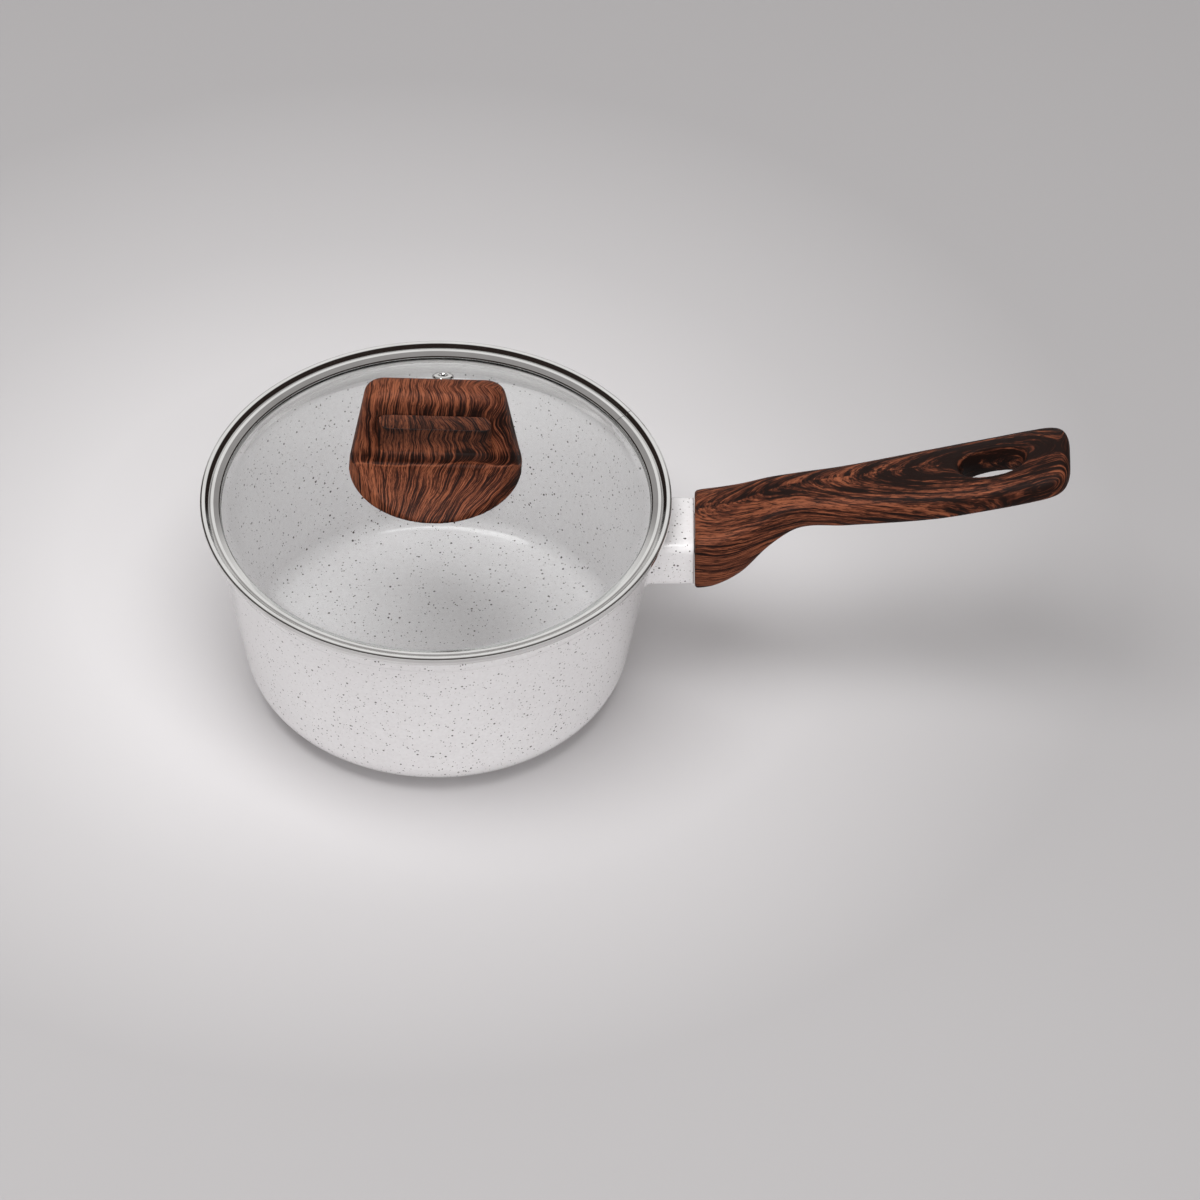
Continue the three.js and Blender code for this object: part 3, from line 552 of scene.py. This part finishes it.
def make_pan(material):
    band_z = LIP_Z - LIP_BAND_H
    lip_outer = outer_wall_r(LIP_Z) + LIP_BAND_PROUD
    lip_inner = inner_wall_r(LIP_Z)
    lip_r = (lip_outer - lip_inner) / 2
    step = 0.5
    outer_centre = corner_centre_r(outer_wall_r, BASE_Z, CORNER_R)
    inner_centre = corner_centre_r(inner_wall_r, FLOOR_Z, FLOOR_FILLET_R)
    recess_z = DISC_T + GAP
    crease = [(outer_wall_r(band_z - step), band_z - step)]
    for i in range(1, 6):
        t = i / 6
        z = band_z - step + 2 * step * t
        crease.append((outer_wall_r(z) + LIP_BAND_PROUD * (3 * t * t - 2 * t ** 3), z))
    outline = [(0, recess_z), (DISC_R + GAP, recess_z), (DISC_R + GAP, BASE_Z + 0.3)]
    outline += arc((DISC_R + GAP + 0.3, BASE_Z + 0.3), 0.3, 180, 270, 3)
    outline += arc((outer_centre, BASE_Z + CORNER_R), CORNER_R, -90, -wall_angle, 24)
    outline += crease
    outline += arc((lip_inner + lip_r, LIP_Z - lip_r), lip_r, 0, 180, 16)
    outline += arc((inner_centre, FLOOR_Z + FLOOR_FILLET_R), FLOOR_FILLET_R, -wall_angle, -90, 16)
    outline += [(r, FLOOR_Z) for r in (48, 30, 12, 0)]
    return finish_piece(revolve("pan_body_shell", outline, 256), "pan_body", material)


def make_base_disc(material):
    outline = rounded([(0, 0, 0), (DISC_R, 0, 0.35), (DISC_R, DISC_T, 0.2), (0, DISC_T, 0)])
    return finish_piece(revolve("induction_disc", outline), "base_disc", material)


BRACKET_W = bracket_hi.y - bracket_lo.y
BRACKET_H = bracket_hi.z - bracket_lo.z
BRACKET_Z = (bracket_hi.z + bracket_lo.z) / 2
SHOULDER_X = handle_lo.x - GAP
TANG_W, TANG_H, TANG_Z = 15.0, 9.0, 72.0
TANG_END_X = bracket_hi.x
SCREW_X = (screw_lo.x + screw_hi.x) / 2


def rounded_rectangle(width, height, radius, steps=6):
    """Closed outline, centred on the origin."""
    w, h = width / 2, height / 2
    return rounded([(-w, -h, radius), (w, -h, radius), (w, h, radius), (-w, h, radius)], steps)


def make_bracket(material):
    """Block from the wall to the handle, with a fillet where the coating runs on to the wall."""
    section = rounded_rectangle(BRACKET_W, BRACKET_H, 4, 8)
    flare, flare_length = 1.6, 2.6
    rings = []
    for step in range(9):
        along = step / 8
        grow = flare * (1 - math.sin(along * math.pi / 2))
        ring = []
        for y, z in section:
            scale_y, scale_z = 1 + 2 * grow / BRACKET_W, 1 + 2 * grow / BRACKET_H
            py, pz = y * scale_y, BRACKET_Z + z * scale_z
            wall = math.sqrt(outer_wall_r(pz) ** 2 - py ** 2) - 0.05
            ring.append((wall + flare_length * (1 - math.cos(along * math.pi / 2)), py, pz))
        rings.append(ring)
    edge = 0.6
    for inset, x in ((0.0, SHOULDER_X - edge), (0.08, SHOULDER_X - 0.6 * edge),
                     (0.25, SHOULDER_X - 0.25 * edge), (0.6, SHOULDER_X)):
        small = rounded_rectangle(BRACKET_W - 2 * inset, BRACKET_H - 2 * inset, 4 - inset, 8)
        rings.append([(x, y, BRACKET_Z + z) for y, z in small])
    piece = skin("bracket_block", rings)
    tang_rings = []
    for x, inset in ((SHOULDER_X - 2, 0), (TANG_END_X - 0.6, 0), (TANG_END_X, 0.6)):
        outline = rounded_rectangle(TANG_W - 2 * inset, TANG_H - 2 * inset, 1, 3)
        tang_rings.append([(x, y, TANG_Z + z) for y, z in outline])
    combine(piece, "UNION", skin("tang", tang_rings))
    hole = revolve("tang_hole", [(0, 60), (2.1, 60), (2.1, TANG_Z + 3.5), (0, TANG_Z + 3.5)], 48)
    hole.location.x = SCREW_X * MM
    combine(piece, "DIFFERENCE", hole)
    return finish_piece(piece, "handle_bracket", material)


# ---------------------------------------------------------------- handle

# Cross-sections: x, centre height, width, height, squareness (2 is an ellipse, larger is squarer).
HANDLE_SECTIONS = np.array([
    [103.2, 68.9, 35.2, 25.6, 5.2],
    [104.2, 69.0, 36.6, 27.0, 5.2],
    [112.0, 70.7, 36.4, 27.0, 5.0],
    [122.0, 75.4, 33.2, 24.8, 4.6],
    [133.0, 84.1, 27.4, 18.8, 4.0],
    [145.0, 90.2, 23.8, 14.2, 3.6],
    [163.0, 92.5, 26.4, 15.0, 3.4],
    [198.0, 98.7, 33.6, 15.2, 3.2],
    [222.0, 104.4, 35.6, 14.2, 3.2],
    [238.0, 108.6, 35.8, 13.6, 3.2],
    [245.5, 110.6, 34.6, 13.0, 3.1],
    [249.6, 111.6, 30.0, 11.4, 3.0],
    [251.6, 112.1, 22.0, 8.0, 2.8],
    [252.2, 112.2, 15.0, 5.0, 2.6],
])
HANG_HOLE_X, HANG_HOLE_LENGTH, HANG_HOLE_W = 221.5, 24.0, 14.6


def handle_section(x):
    """Centre height, width, height and squareness at x, on a smooth curve through the sections."""
    xs, values = HANDLE_SECTIONS[:, 0], HANDLE_SECTIONS[:, 1:]
    i = int(np.clip(np.searchsorted(xs, x) - 1, 0, len(xs) - 2))
    slopes = []
    for k in (i, i + 1):
        a, b = max(k - 1, 0), min(k + 1, len(xs) - 1)
        slopes.append((values[b] - values[a]) / (xs[b] - xs[a]))
    span = xs[i + 1] - xs[i]
    t = (x - xs[i]) / span
    rise = t * t * (3 - 2 * t)
    ease_in, ease_out = t * (1 - t) ** 2, t * t * (t - 1)
    straight = values[i] * (1 - rise) + values[i + 1] * rise
    return straight + span * (slopes[0] * ease_in + slopes[1] * ease_out)


def handle_ring(x, count=120):
    centre_z, width, height, squareness = handle_section(x)
    ring = []
    for i in range(count):
        cos, sin = math.cos(2 * math.pi * i / count), math.sin(2 * math.pi * i / count)
        y = width / 2 * math.copysign(abs(cos) ** (2 / squareness), cos)
        z = centre_z + height / 2 * math.copysign(abs(sin) ** (2 / squareness), sin)
        ring.append((x, y, z))
    return ring


def hang_hole_tool():
    """An oval hole with a waist at mid-thickness, flaring out into a soft dish at both faces."""
    middle_z, _, thickness, _ = handle_section(HANG_HOLE_X)
    slope = (handle_section(HANG_HOLE_X + 5)[0] - handle_section(HANG_HOLE_X - 5)[0]) / 10
    flare, half, steps = 2.6, thickness / 2, 64
    levels = [(half * math.sin(a), flare * (1 - math.cos(a))) for a in np.linspace(0.1, math.pi / 2, 10)]
    levels += [(half + 0.25, flare + 0.6), (half + 1.0, flare + 3.4), (half + 4, flare + 8)]
    rings = []
    for height, grow in [(-h, g) for h, g in reversed(levels)] + levels:
        half_length, half_w = HANG_HOLE_LENGTH / 2 + grow, HANG_HOLE_W / 2 + 0.6 * grow
        ring = []
        for angle in np.linspace(0, 2 * math.pi, steps, endpoint=False):
            x = half_length * math.copysign(abs(math.cos(angle)) ** 0.9, math.cos(angle))
            y = half_w * math.copysign(abs(math.sin(angle)) ** 0.9, math.sin(angle))
            ring.append((HANG_HOLE_X + x, y, middle_z + slope * x + height))
        rings.append(ring)
    return skin("hang_hole_tool", rings)


SCREW_HEAD_R, SCREW_HEAD_H = 3.8, 2.6
COUNTERBORE_TOP_Z = TANG_Z - TANG_H / 2 - GAP - 3


def make_handle(material):
    xs = np.unique(np.concatenate([np.linspace(103.2, 104.2, 5), np.linspace(104.2, 249, 150),
                                   np.linspace(249, 252.2, 12)]))
    piece = skin("handle_grip", [handle_ring(x) for x in xs])
    socket_outline = rounded_rectangle(TANG_W + 2 * GAP, TANG_H + 2 * GAP, 1, 3)
    socket = skin("socket_tool", [[(x, y, TANG_Z + z) for y, z in socket_outline]
                                  for x in (HANDLE_SECTIONS[0, 0] - 1, TANG_END_X + GAP)])
    bore_r, shank_r = SCREW_HEAD_R + 0.5, 2.3
    bore = revolve("bore_tool", [(0, 40), (bore_r, 40), (bore_r, COUNTERBORE_TOP_Z),
                                 (shank_r, COUNTERBORE_TOP_Z), (shank_r, TANG_Z), (0, TANG_Z)], 48)
    bore.location.x = SCREW_X * MM
    combine(piece, "DIFFERENCE", socket, bore, hang_hole_tool())
    remesh_soft(piece, 0.55, 4)
    return finish_piece(piece, "handle", material, sharp_degrees=0)


# ---------------------------------------------------------------- screws and washers

def cross_recess(radius, low, high, x):
    """Tapered cross-shaped tool for a screw's head, pointing up into it."""
    tools = []
    for turn in (0, math.pi / 2):
        rings = []
        for z, half_length, half_width in ((low - 1, radius * 0.62, 0.62), (high, radius * 0.3, 0.42)):
            corners = [(-half_length, -half_width), (half_length, -half_width), (half_length, half_width),
                       (-half_length, half_width)]
            cos, sin = math.cos(turn), math.sin(turn)
            rings.append([(x + a * cos - b * sin, a * sin + b * cos, z) for a, b in corners])
        tools.append(skin("recess_tool", rings))
    return tools


def screw_outline(head_r, head_h, shank_r, head_top, tip, pitch):
    """Pan head below head_top, and a threaded shank up to tip."""
    outline = [(0, head_top - head_h)]
    outline += [(head_r * math.sin(a), head_top - head_h * (0.35 + 0.65 * math.cos(a)))
                for a in np.linspace(0.15, math.pi / 2, 8)]
    outline += [(head_r, head_top - 0.15), (head_r - 0.15, head_top), (shank_r, head_top)]
    z = head_top + pitch
    while z + pitch < tip - 0.6:
        outline += [(shank_r, z), (shank_r - 0.35, z + pitch * 0.45), (shank_r - 0.35, z + pitch * 0.55)]
        z += pitch
    outline += [(shank_r, z), (shank_r - 0.6, tip), (0, tip)]
    return outline


def make_screw(name, node, head_r, head_h, shank_r, head_top, tip, x, material):
    piece = revolve(name, [(r, z) for r, z in screw_outline(head_r, head_h, shank_r, head_top, tip, 0.8)], 64)
    piece.data.transform(Matrix.Translation((x * MM, 0, 0)))
    bottom = head_top - head_h
    combine(piece, "DIFFERENCE", *cross_recess(head_r, bottom, bottom + head_h * 0.6, x))
    return finish_piece(piece, node, material)


def make_spring_washer(name, node, inner, outer, low, high, x, material):
    """Split ring whose ends are sheared apart."""
    thick = (high - low) * 0.82
    section = rounded([(inner, low, 0.12), (outer, low, 0.12), (outer, low + thick, 0.12),
                       (inner, low + thick, 0.12)], 3)
    rings, steps, slit = [], 72, 0.14
    for i in range(steps + 1):
        angle = slit / 2 + (2 * math.pi - slit) * i / steps
        lift = (high - low - thick) * i / steps
        rings.append([(x + r * math.cos(angle), r * math.sin(angle), z + lift) for r, z in section])
    return finish_piece(skin(name, rings), node, material)


def make_ring(name, node, inner, outer, low, high, material, edge=0.15):
    corners = [(inner, low, edge), (outer, low, edge), (outer, high, edge), (inner, high, edge)]
    return finish_piece(revolve(name, rounded(corners, 4), 96), node, material)


# ---------------------------------------------------------------- lid

def glass_top(r):
    return GLASS_CENTRE_Z + math.sqrt(GLASS_R ** 2 - r ** 2)


def glass_bottom(r):
    return GLASS_CENTRE_Z + math.sqrt((GLASS_R - GLASS_T) ** 2 - r ** 2)


def dome(height_at, start, end, steps):
    return [(r, height_at(r)) for r in np.linspace(start, end, steps + 1)]


def turn_lid(piece):
    """The lid sits turned a little on the pan."""
    piece.data.transform(Matrix.Rotation(LID_TURN, 4, "Z"))
    return piece


def at_vent(piece):
    """Moves a piece made round the origin onto the glass at the vent."""
    tilt = math.asin(VENT_R / GLASS_R)
    place = Matrix.Translation((0, VENT_R * MM, glass_top(VENT_R) * MM)) @ Matrix.Rotation(-tilt, 4, "X")
    piece.data.transform(Matrix.Rotation(LID_TURN, 4, "Z") @ place)
    return piece


def make_glass(material):
    seat_z = SHELF_Z + GAP
    seat_r = math.sqrt((GLASS_R - GLASS_T) ** 2 - (seat_z - GLASS_CENTRE_Z) ** 2)
    outline = dome(glass_bottom, GLASS_HOLE_R, seat_r, 44)
    outline += [(GLASS_EDGE_R - 0.5, seat_z), (GLASS_EDGE_R, seat_z + 0.5)]
    outline += [(GLASS_EDGE_R, glass_top(GLASS_EDGE_R) - 0.3)]
    outline += dome(glass_top, GLASS_EDGE_R - 0.4, GLASS_HOLE_R, 44)
    piece = turn_lid(revolve("glass_dome", outline, 256))
    hole = at_vent(revolve("vent_tool", [(0, -10), (2.6, -10), (2.6, 10), (0, 10)], 48))
    combine(piece, "DIFFERENCE", hole)
    return finish_piece(piece, "lid_glass", material)


def make_rim(material):
    """Rolled strip: inner lip on the glass, bead, shelf and flange, with a butt seam."""
    t = 0.7
    lip_r, flange_r = 85.9, 85.2
    under_z = SHELF_Z - t
    corners = [
        (flange_r - t, rim_lo.z, 0.25), (flange_r, rim_lo.z, 0.25), (flange_r, under_z, 0.7),
        (90.4, under_z, 0.9), (93.3, RIM_Z - 2.6, 1.4), (94.0, RIM_Z - 0.9, 0.8), (94.0, RIM_Z + 0.65, 0.4),
        (93.3, RIM_Z + RIM_CREST, 0.25), (92.0, RIM_Z + RIM_CREST, 0.35), (90.5, RIM_Z - 0.35, 0.25),
        (89.8, RIM_Z + 0.05, 0.3), (88.6, RIM_Z, 0.6), (86.6, RIM_Z - 0.75, 0.4),
        (lip_r, RIM_Z - 1.25, 0.25), (lip_r + 0.25, RIM_Z - 1.5, 0.1),
        (88.5, RIM_Z - 0.72, 0.4), (90.3, RIM_Z - 1.05, 0.3), (91.7, RIM_Z + 0.35, 0.3),
        (93.2, RIM_Z + 0.35, 0.3), (92.8, RIM_Z - 2.3, 0.9), (90.1, SHELF_Z, 0.8),
        (flange_r - t, SHELF_Z, 0.6),
    ]
    slit = 0.22 / RIM_R
    start = RIM_SEAM_ANGLE + slit / 2
    piece = revolve("rim_band", rounded(corners, 8), 320, start, 2 * math.pi - slit)
    return finish_piece(piece, "lid_rim", material, sharp_degrees=50)


def make_vent(material):
    eyelet = rounded([(1.5, -GLASS_T - 2.2, 0.1), (2.2, -GLASS_T - 2.2, 0.1), (2.2, GAP, 0.1),
                      (4.1, GAP, 0.2), (4.45, GAP + 0.45, 0.3), (3.6, GAP + 1.25, 0.9), (1.9, GAP + 1.3, 0.6),
                      (1.5, GAP + 0.5, 0.8)], 6)
    finish_piece(at_vent(revolve("vent_flange", eyelet, 96)), "vent_eyelet", material)
    collar = rounded([(2.5, -GLASS_T - GAP - 1.1, 0.2), (4.2, -GLASS_T - GAP - 1.1, 0.4),
                      (4.2, -GLASS_T - GAP, 0.1), (2.5, -GLASS_T - GAP, 0.1)], 4)
    finish_piece(at_vent(revolve("vent_ring", collar, 96)), "vent_collar", material)


# ---------------------------------------------------------------- knob

GRIP_ROOT_HALF_T, GRIP_TOP_HALF_T = 8.5, 7.2
KNOB_TOP_HALF_W = 27.0
KNOB_EDGE_H = 1.3
SKIRT_LEAN = 2.2
KNOB_CORNER_R = 6.0
GRIP_TOP_R = 5.0
GRIP_SIDE_R = 5.2
WINDOW_HALF_W, WINDOW_LOW, WINDOW_HIGH, WINDOW_R = 22.5, RIM_Z + 32, RIM_Z + 51.4, 4.0
GASKET_TOP_Z = GLASS_APEX_Z + 1.8
TOP_GASKET_R = 12.0
INSERT_R = 4.5
INSERT_TOP_Z = WINDOW_LOW - 2


def knob_half_w(z):
    """Half-width of the knob at height z; its sides lean in towards the top."""
    share = (z - KNOB_EDGE_Z) / (KNOB_TOP_Z - KNOB_EDGE_Z)
    return KNOB_R + (KNOB_TOP_HALF_W - KNOB_R) * share


def skirt_line():
    """Side view of the skirt's top, in y and z, from the grip's root out to the edge."""
    bend = Vector((24.0, KNOB_CREASE_Z - 1.2))
    edge, crease = Vector((KNOB_R, KNOB_EDGE_Z + KNOB_EDGE_H)), Vector((GRIP_ROOT_HALF_T, KNOB_CREASE_Z))
    return [tuple(crease * (1 - t) ** 2 + bend * 2 * t * (1 - t) + edge * t * t)
            for t in np.linspace(0, 1, 17)]


def knob_skirt():
    reach, low = KNOB_R + 6, KNOB_EDGE_Z - 10
    half = skirt_line() + [(KNOB_R, low)]
    outline = half + [(-y, z) for y, z in reversed(half)]
    piece = skin("knob_loop", [[(x, y, z) for y, z in outline] for x in (-reach, reach)])
    front = [(-knob_half_w(low), low), (knob_half_w(low), low), (knob_half_w(KNOB_TOP_Z), KNOB_TOP_Z),
             (-knob_half_w(KNOB_TOP_Z), KNOB_TOP_Z)]
    sides = skin("knob_front_tool", [[(x, y, z) for x, z in front] for y in (-reach, reach)])
    crease_r = KNOB_R - SKIRT_LEAN
    plan = revolve("knob_plan_tool", [(0, low - 2), (KNOB_R, low - 2), (KNOB_R, KNOB_EDGE_Z + KNOB_EDGE_H),
                                      (crease_r, KNOB_CREASE_Z), (crease_r, KNOB_TOP_Z), (0, KNOB_TOP_Z)])
    return combine(piece, "INTERSECT", sides, plan)


def knob_grip():
    """Upright grip: rounded rectangles stacked up, drawn in at the top to round its edges."""
    rings = []
    heights = list(np.linspace(KNOB_EDGE_Z - 2, KNOB_TOP_Z - KNOB_CORNER_R, 24))
    heights += [KNOB_TOP_Z - KNOB_CORNER_R * (1 - math.sin(a)) for a in np.linspace(0.08, math.pi / 2, 22)]
    for z in heights:
        share = max((z - KNOB_CREASE_Z) / (KNOB_TOP_Z - KNOB_CREASE_Z), 0)
        half_w = knob_half_w(z)
        half_t = GRIP_ROOT_HALF_T + (GRIP_TOP_HALF_T - GRIP_ROOT_HALF_T) * share
        over = max(z - (KNOB_TOP_Z - KNOB_CORNER_R), 0)
        half_w -= KNOB_CORNER_R - math.sqrt(max(KNOB_CORNER_R ** 2 - over ** 2, 0))
        over = max(z - (KNOB_TOP_Z - GRIP_TOP_R), 0)
        half_t -= GRIP_TOP_R - math.sqrt(max(GRIP_TOP_R ** 2 - over ** 2, 0))
        corner = min(half_t * 0.9, GRIP_SIDE_R)
        rings.append([(x, y, z) for x, y in rounded_rectangle(2 * half_w, 2 * half_t, corner, 10)])
    return skin("knob_grip_tool", rings)


def knob_window_tool():
    """The finger window, flared at both faces so that its edges come out rounded."""
    middle = (WINDOW_LOW + WINDOW_HIGH) / 2
    half_t, edge_r = 7.7, 1.5
    levels = [(half_t - edge_r * (1 - math.sin(a)), edge_r * (1 - math.cos(a)))
              for a in np.linspace(0, math.pi * 0.4, 7)]
    levels.append((half_t + 3, levels[-1][1] + 6))
    rings = []
    for depth, grow in [(-d, g) for d, g in reversed(levels)] + levels:
        outline = rounded_rectangle(2 * (WINDOW_HALF_W + grow), WINDOW_HIGH - WINDOW_LOW + 2 * grow,
                                    WINDOW_R + grow, 8)
        rings.append([(x, depth, middle + z) for x, z in outline])
    return skin("knob_window_tool", rings)


def make_knob(material):
    piece = combine(knob_skirt(), "UNION", knob_grip())
    underside = revolve("underside_tool", [(0, KNOB_EDGE_Z - 20), (KNOB_R + 3, KNOB_EDGE_Z - 20)]
                        + dome(lambda r: glass_top(r) + 2 * GAP, KNOB_R + 3, 0, 16), 128)
    pocket = revolve("pocket_tool", [(0, KNOB_EDGE_Z - 5), (TOP_GASKET_R + GAP, KNOB_EDGE_Z - 5),
                                     (TOP_GASKET_R + GAP, GASKET_TOP_Z + GAP),
                                     (INSERT_R + GAP, GASKET_TOP_Z + GAP),
                                     (INSERT_R + GAP, INSERT_TOP_Z + GAP), (0, INSERT_TOP_Z + GAP)], 96)
    combine(piece, "DIFFERENCE", knob_window_tool(), underside, pocket)
    remesh_soft(piece, 0.45, 11)
    return finish_piece(turn_lid(piece), "knob", material, sharp_degrees=0)


def make_knob_fixings(steel, silicone):
    shank_r = 2.4
    gasket_low = glass_bottom(0) - GAP - 1.4
    washer_low = gasket_low - GAP - 1
    spring_low = washer_low - GAP - 1
    top_gasket = dome(lambda r: glass_top(r) + GAP, GLASS_HOLE_R, TOP_GASKET_R, 8)
    top_gasket += [(TOP_GASKET_R, GASKET_TOP_Z), (GLASS_HOLE_R, GASKET_TOP_Z)]
    finish_piece(revolve("seal_above_glass", top_gasket, 96), "knob_top_gasket", silicone)
    under = [(shank_r + GAP, gasket_low), (7.8, gasket_low), (8, gasket_low + 0.2)]
    under += dome(lambda r: glass_bottom(r) - GAP, 8, GLASS_HOLE_R - GAP, 4)
    under += [(GLASS_HOLE_R - GAP, glass_top(0) - 1), (shank_r + GAP, glass_top(0) - 1)]
    finish_piece(revolve("seal_below_glass", under, 96), "knob_bottom_gasket", silicone)
    make_ring("flat_washer", "knob_washer", shank_r + GAP, 7, washer_low, gasket_low - GAP, steel)
    make_spring_washer("knob_spring_ring", "knob_spring_washer", shank_r + GAP, 4.6, spring_low,
                       washer_low - GAP, 0, steel)
    make_screw("knob_bolt", "knob_screw", 4.7, 3.2, shank_r, spring_low - GAP, INSERT_TOP_Z - GAP, 0, steel)


# ---------------------------------------------------------------- build

coating = coating_material()
polished = steel_material("polished_steel", 0.09, 0.35, 0.05)
plated = steel_material("plated_steel", 0.22, 0.3, 0.2)
silicone = silicone_material()

make_pan(coating)
make_base_disc(base_disc_material())
make_bracket(coating)
make_handle(handle_print_material())
make_screw("handle_bolt", "handle_screw", SCREW_HEAD_R, SCREW_HEAD_H, 2.0,
           COUNTERBORE_TOP_Z - 0.9 - 2 * GAP, TANG_Z + TANG_H / 2 - 1 - GAP, SCREW_X, plated)
make_spring_washer("handle_spring_ring", "handle_lock_washer", 2.3, 3.6, COUNTERBORE_TOP_Z - GAP - 0.9,
                   COUNTERBORE_TOP_Z - GAP, SCREW_X, plated)
glass = make_glass(glass_material())
rim = make_rim(polished)
make_vent(polished)
make_knob(knob_print_material())
make_knob_fixings(plated, silicone)
insert = frame["nodes"]["knob_insert"]
insert.data.materials.clear()
insert.data.materials.append(brass_material())


# ---------------------------------------------------------------- floor, light and camera

def make_floor():
    """Pale seamless floor with a painted pool of light: its colour is lighter near the pan and darker away
    from it.
    """
    size = 12.0
    mesh = bpy.data.meshes.new("floor")
    corners = [(-size, -size, 0), (size, -size, 0), (size, size, 0), (-size, size, 0)]
    mesh.from_pydata(corners, [], [(0, 1, 2, 3)])
    floor = bpy.data.objects.new("floor", mesh)
    floor.location.z = -0.0002
    bpy.context.scene.collection.objects.link(floor)
    nodes = Nodes("floor_painted_light_pool")
    from_light_pool_centre = nodes.vector_math("SUBTRACT", nodes.place(), (-0.02, 0.06, 0))
    away = nodes.vector_math("LENGTH", from_light_pool_centre)
    # Painted light: the colour falls from light near the pan to darker grey outward, where lamp light and the
    # pan's shadow would do it.
    colour = nodes.ramp(away, [(0.13, (0.61, 0.596, 0.602)), (0.20, (0.50, 0.488, 0.493)),
                               (0.30, (0.40, 0.389, 0.393)), (0.50, (0.40, 0.389, 0.392)),
                               (0.95, (0.45, 0.438, 0.441))])
    nodes.set(Base_Color=colour, Roughness=0.7)
    mesh.materials.append(nodes.owner)


def make_world():
    """Bright backdrop under a grey ceiling, with a dark band arched over the pan for steel to mirror."""
    nodes = Nodes("studio", bpy.data.worlds.new("studio"))
    bpy.context.scene.world = nodes.owner
    direction = nodes.add("ShaderNodeTexCoord").outputs["Generated"]
    _, y, z = nodes.separate(direction)
    opposite = nodes.vector_math("DOT_PRODUCT", direction, (0, 0.731, -0.683))
    chord = nodes.math("SQRT", nodes.math("MULTIPLY_ADD", opposite, -2, 2))
    level = nodes.math("DIVIDE", nodes.math("ADD", z, 0.683), chord)
    tones = [(0.60, (0.78, 0.77, 0.77)), (0.685, (0.70, 0.69, 0.69)), (0.715, (0.022, 0.016, 0.014)),
             (0.825, (0.022, 0.016, 0.014)), (0.865, (0.36, 0.35, 0.345)), (0.965, (0.30, 0.29, 0.288)),
             (0.985, (0.40, 0.39, 0.388)), (0.997, (0.80, 0.795, 0.79)), (1.0, (0.80, 0.795, 0.79))]
    sky = nodes.ramp(level, tones)
    low_back = nodes.math("MULTIPLY", nodes.fade(y, 0.78, 0.92), nodes.fade(z, 0.60, 0.42))
    background = nodes.tree.nodes["Background"]
    nodes.feed(background, "Color", nodes.mix(low_back, sky, (0.78, 0.775, 0.77)))
    background.inputs["Strength"].default_value = 1.2


def area_light(name, place, target, size, power, in_reflections=True):
    data = bpy.data.lights.new(name, "AREA")
    data.shape = "RECTANGLE"
    data.size, data.size_y = size
    data.energy = power
    lamp = bpy.data.objects.new(name, data)
    lamp.location = place
    lamp.rotation_mode = "QUATERNION"
    lamp.rotation_quaternion = (Vector(target) - Vector(place)).to_track_quat("-Z", "Y")
    lamp.visible_glossy = in_reflections
    lamp.visible_transmission = in_reflections
    bpy.context.scene.collection.objects.link(lamp)
    return lamp


def keep_light_off(lamp, pieces):
    """The lamp's mirror image stays out of these pieces."""
    spared = bpy.data.collections.new(lamp.name + "_spared")
    lamp.light_linking.receiver_collection = spared
    for piece in pieces:
        spared.objects.link(piece)
    for entry in spared.collection_objects:
        entry.light_linking.link_state = "EXCLUDE"


def make_lights(mirrors):
    """A broad lamp above and a weak one in front, both aimed at the middle of the pan and handle."""
    middle = (0.05, 0, 0.05)
    overhead = area_light("overhead", (-0.12, -0.26, 1.25), middle, (1.1, 0.7), 15.5)
    keep_light_off(overhead, mirrors)
    area_light("front", (0.35, -1.9, 0.85), middle, (2.0, 0.7), 8, in_reflections=False)


def make_camera():
    """Long lens from the front, far enough away that the pan's upright lines stay upright."""
    elevation, tilt_down = math.radians(42.66), math.radians(43.04)
    distance, side = 6.0, 0.0654
    data = bpy.data.cameras.new("camera")
    data.sensor_width = 36
    data.lens = 451.8
    data.clip_end = 60
    camera = bpy.data.objects.new("camera", data)
    camera.location = (side, -distance * math.cos(elevation), RIM_Z * MM + distance * math.sin(elevation))
    camera.rotation_euler = (math.pi / 2 - tilt_down, 0, 0)
    bpy.context.scene.collection.objects.link(camera)
    bpy.context.scene.camera = camera


make_floor()
make_world()
make_lights([glass, rim])
make_camera()
bpy.context.scene.view_settings.view_transform = "Standard"

bpy.context.view_layer.update()
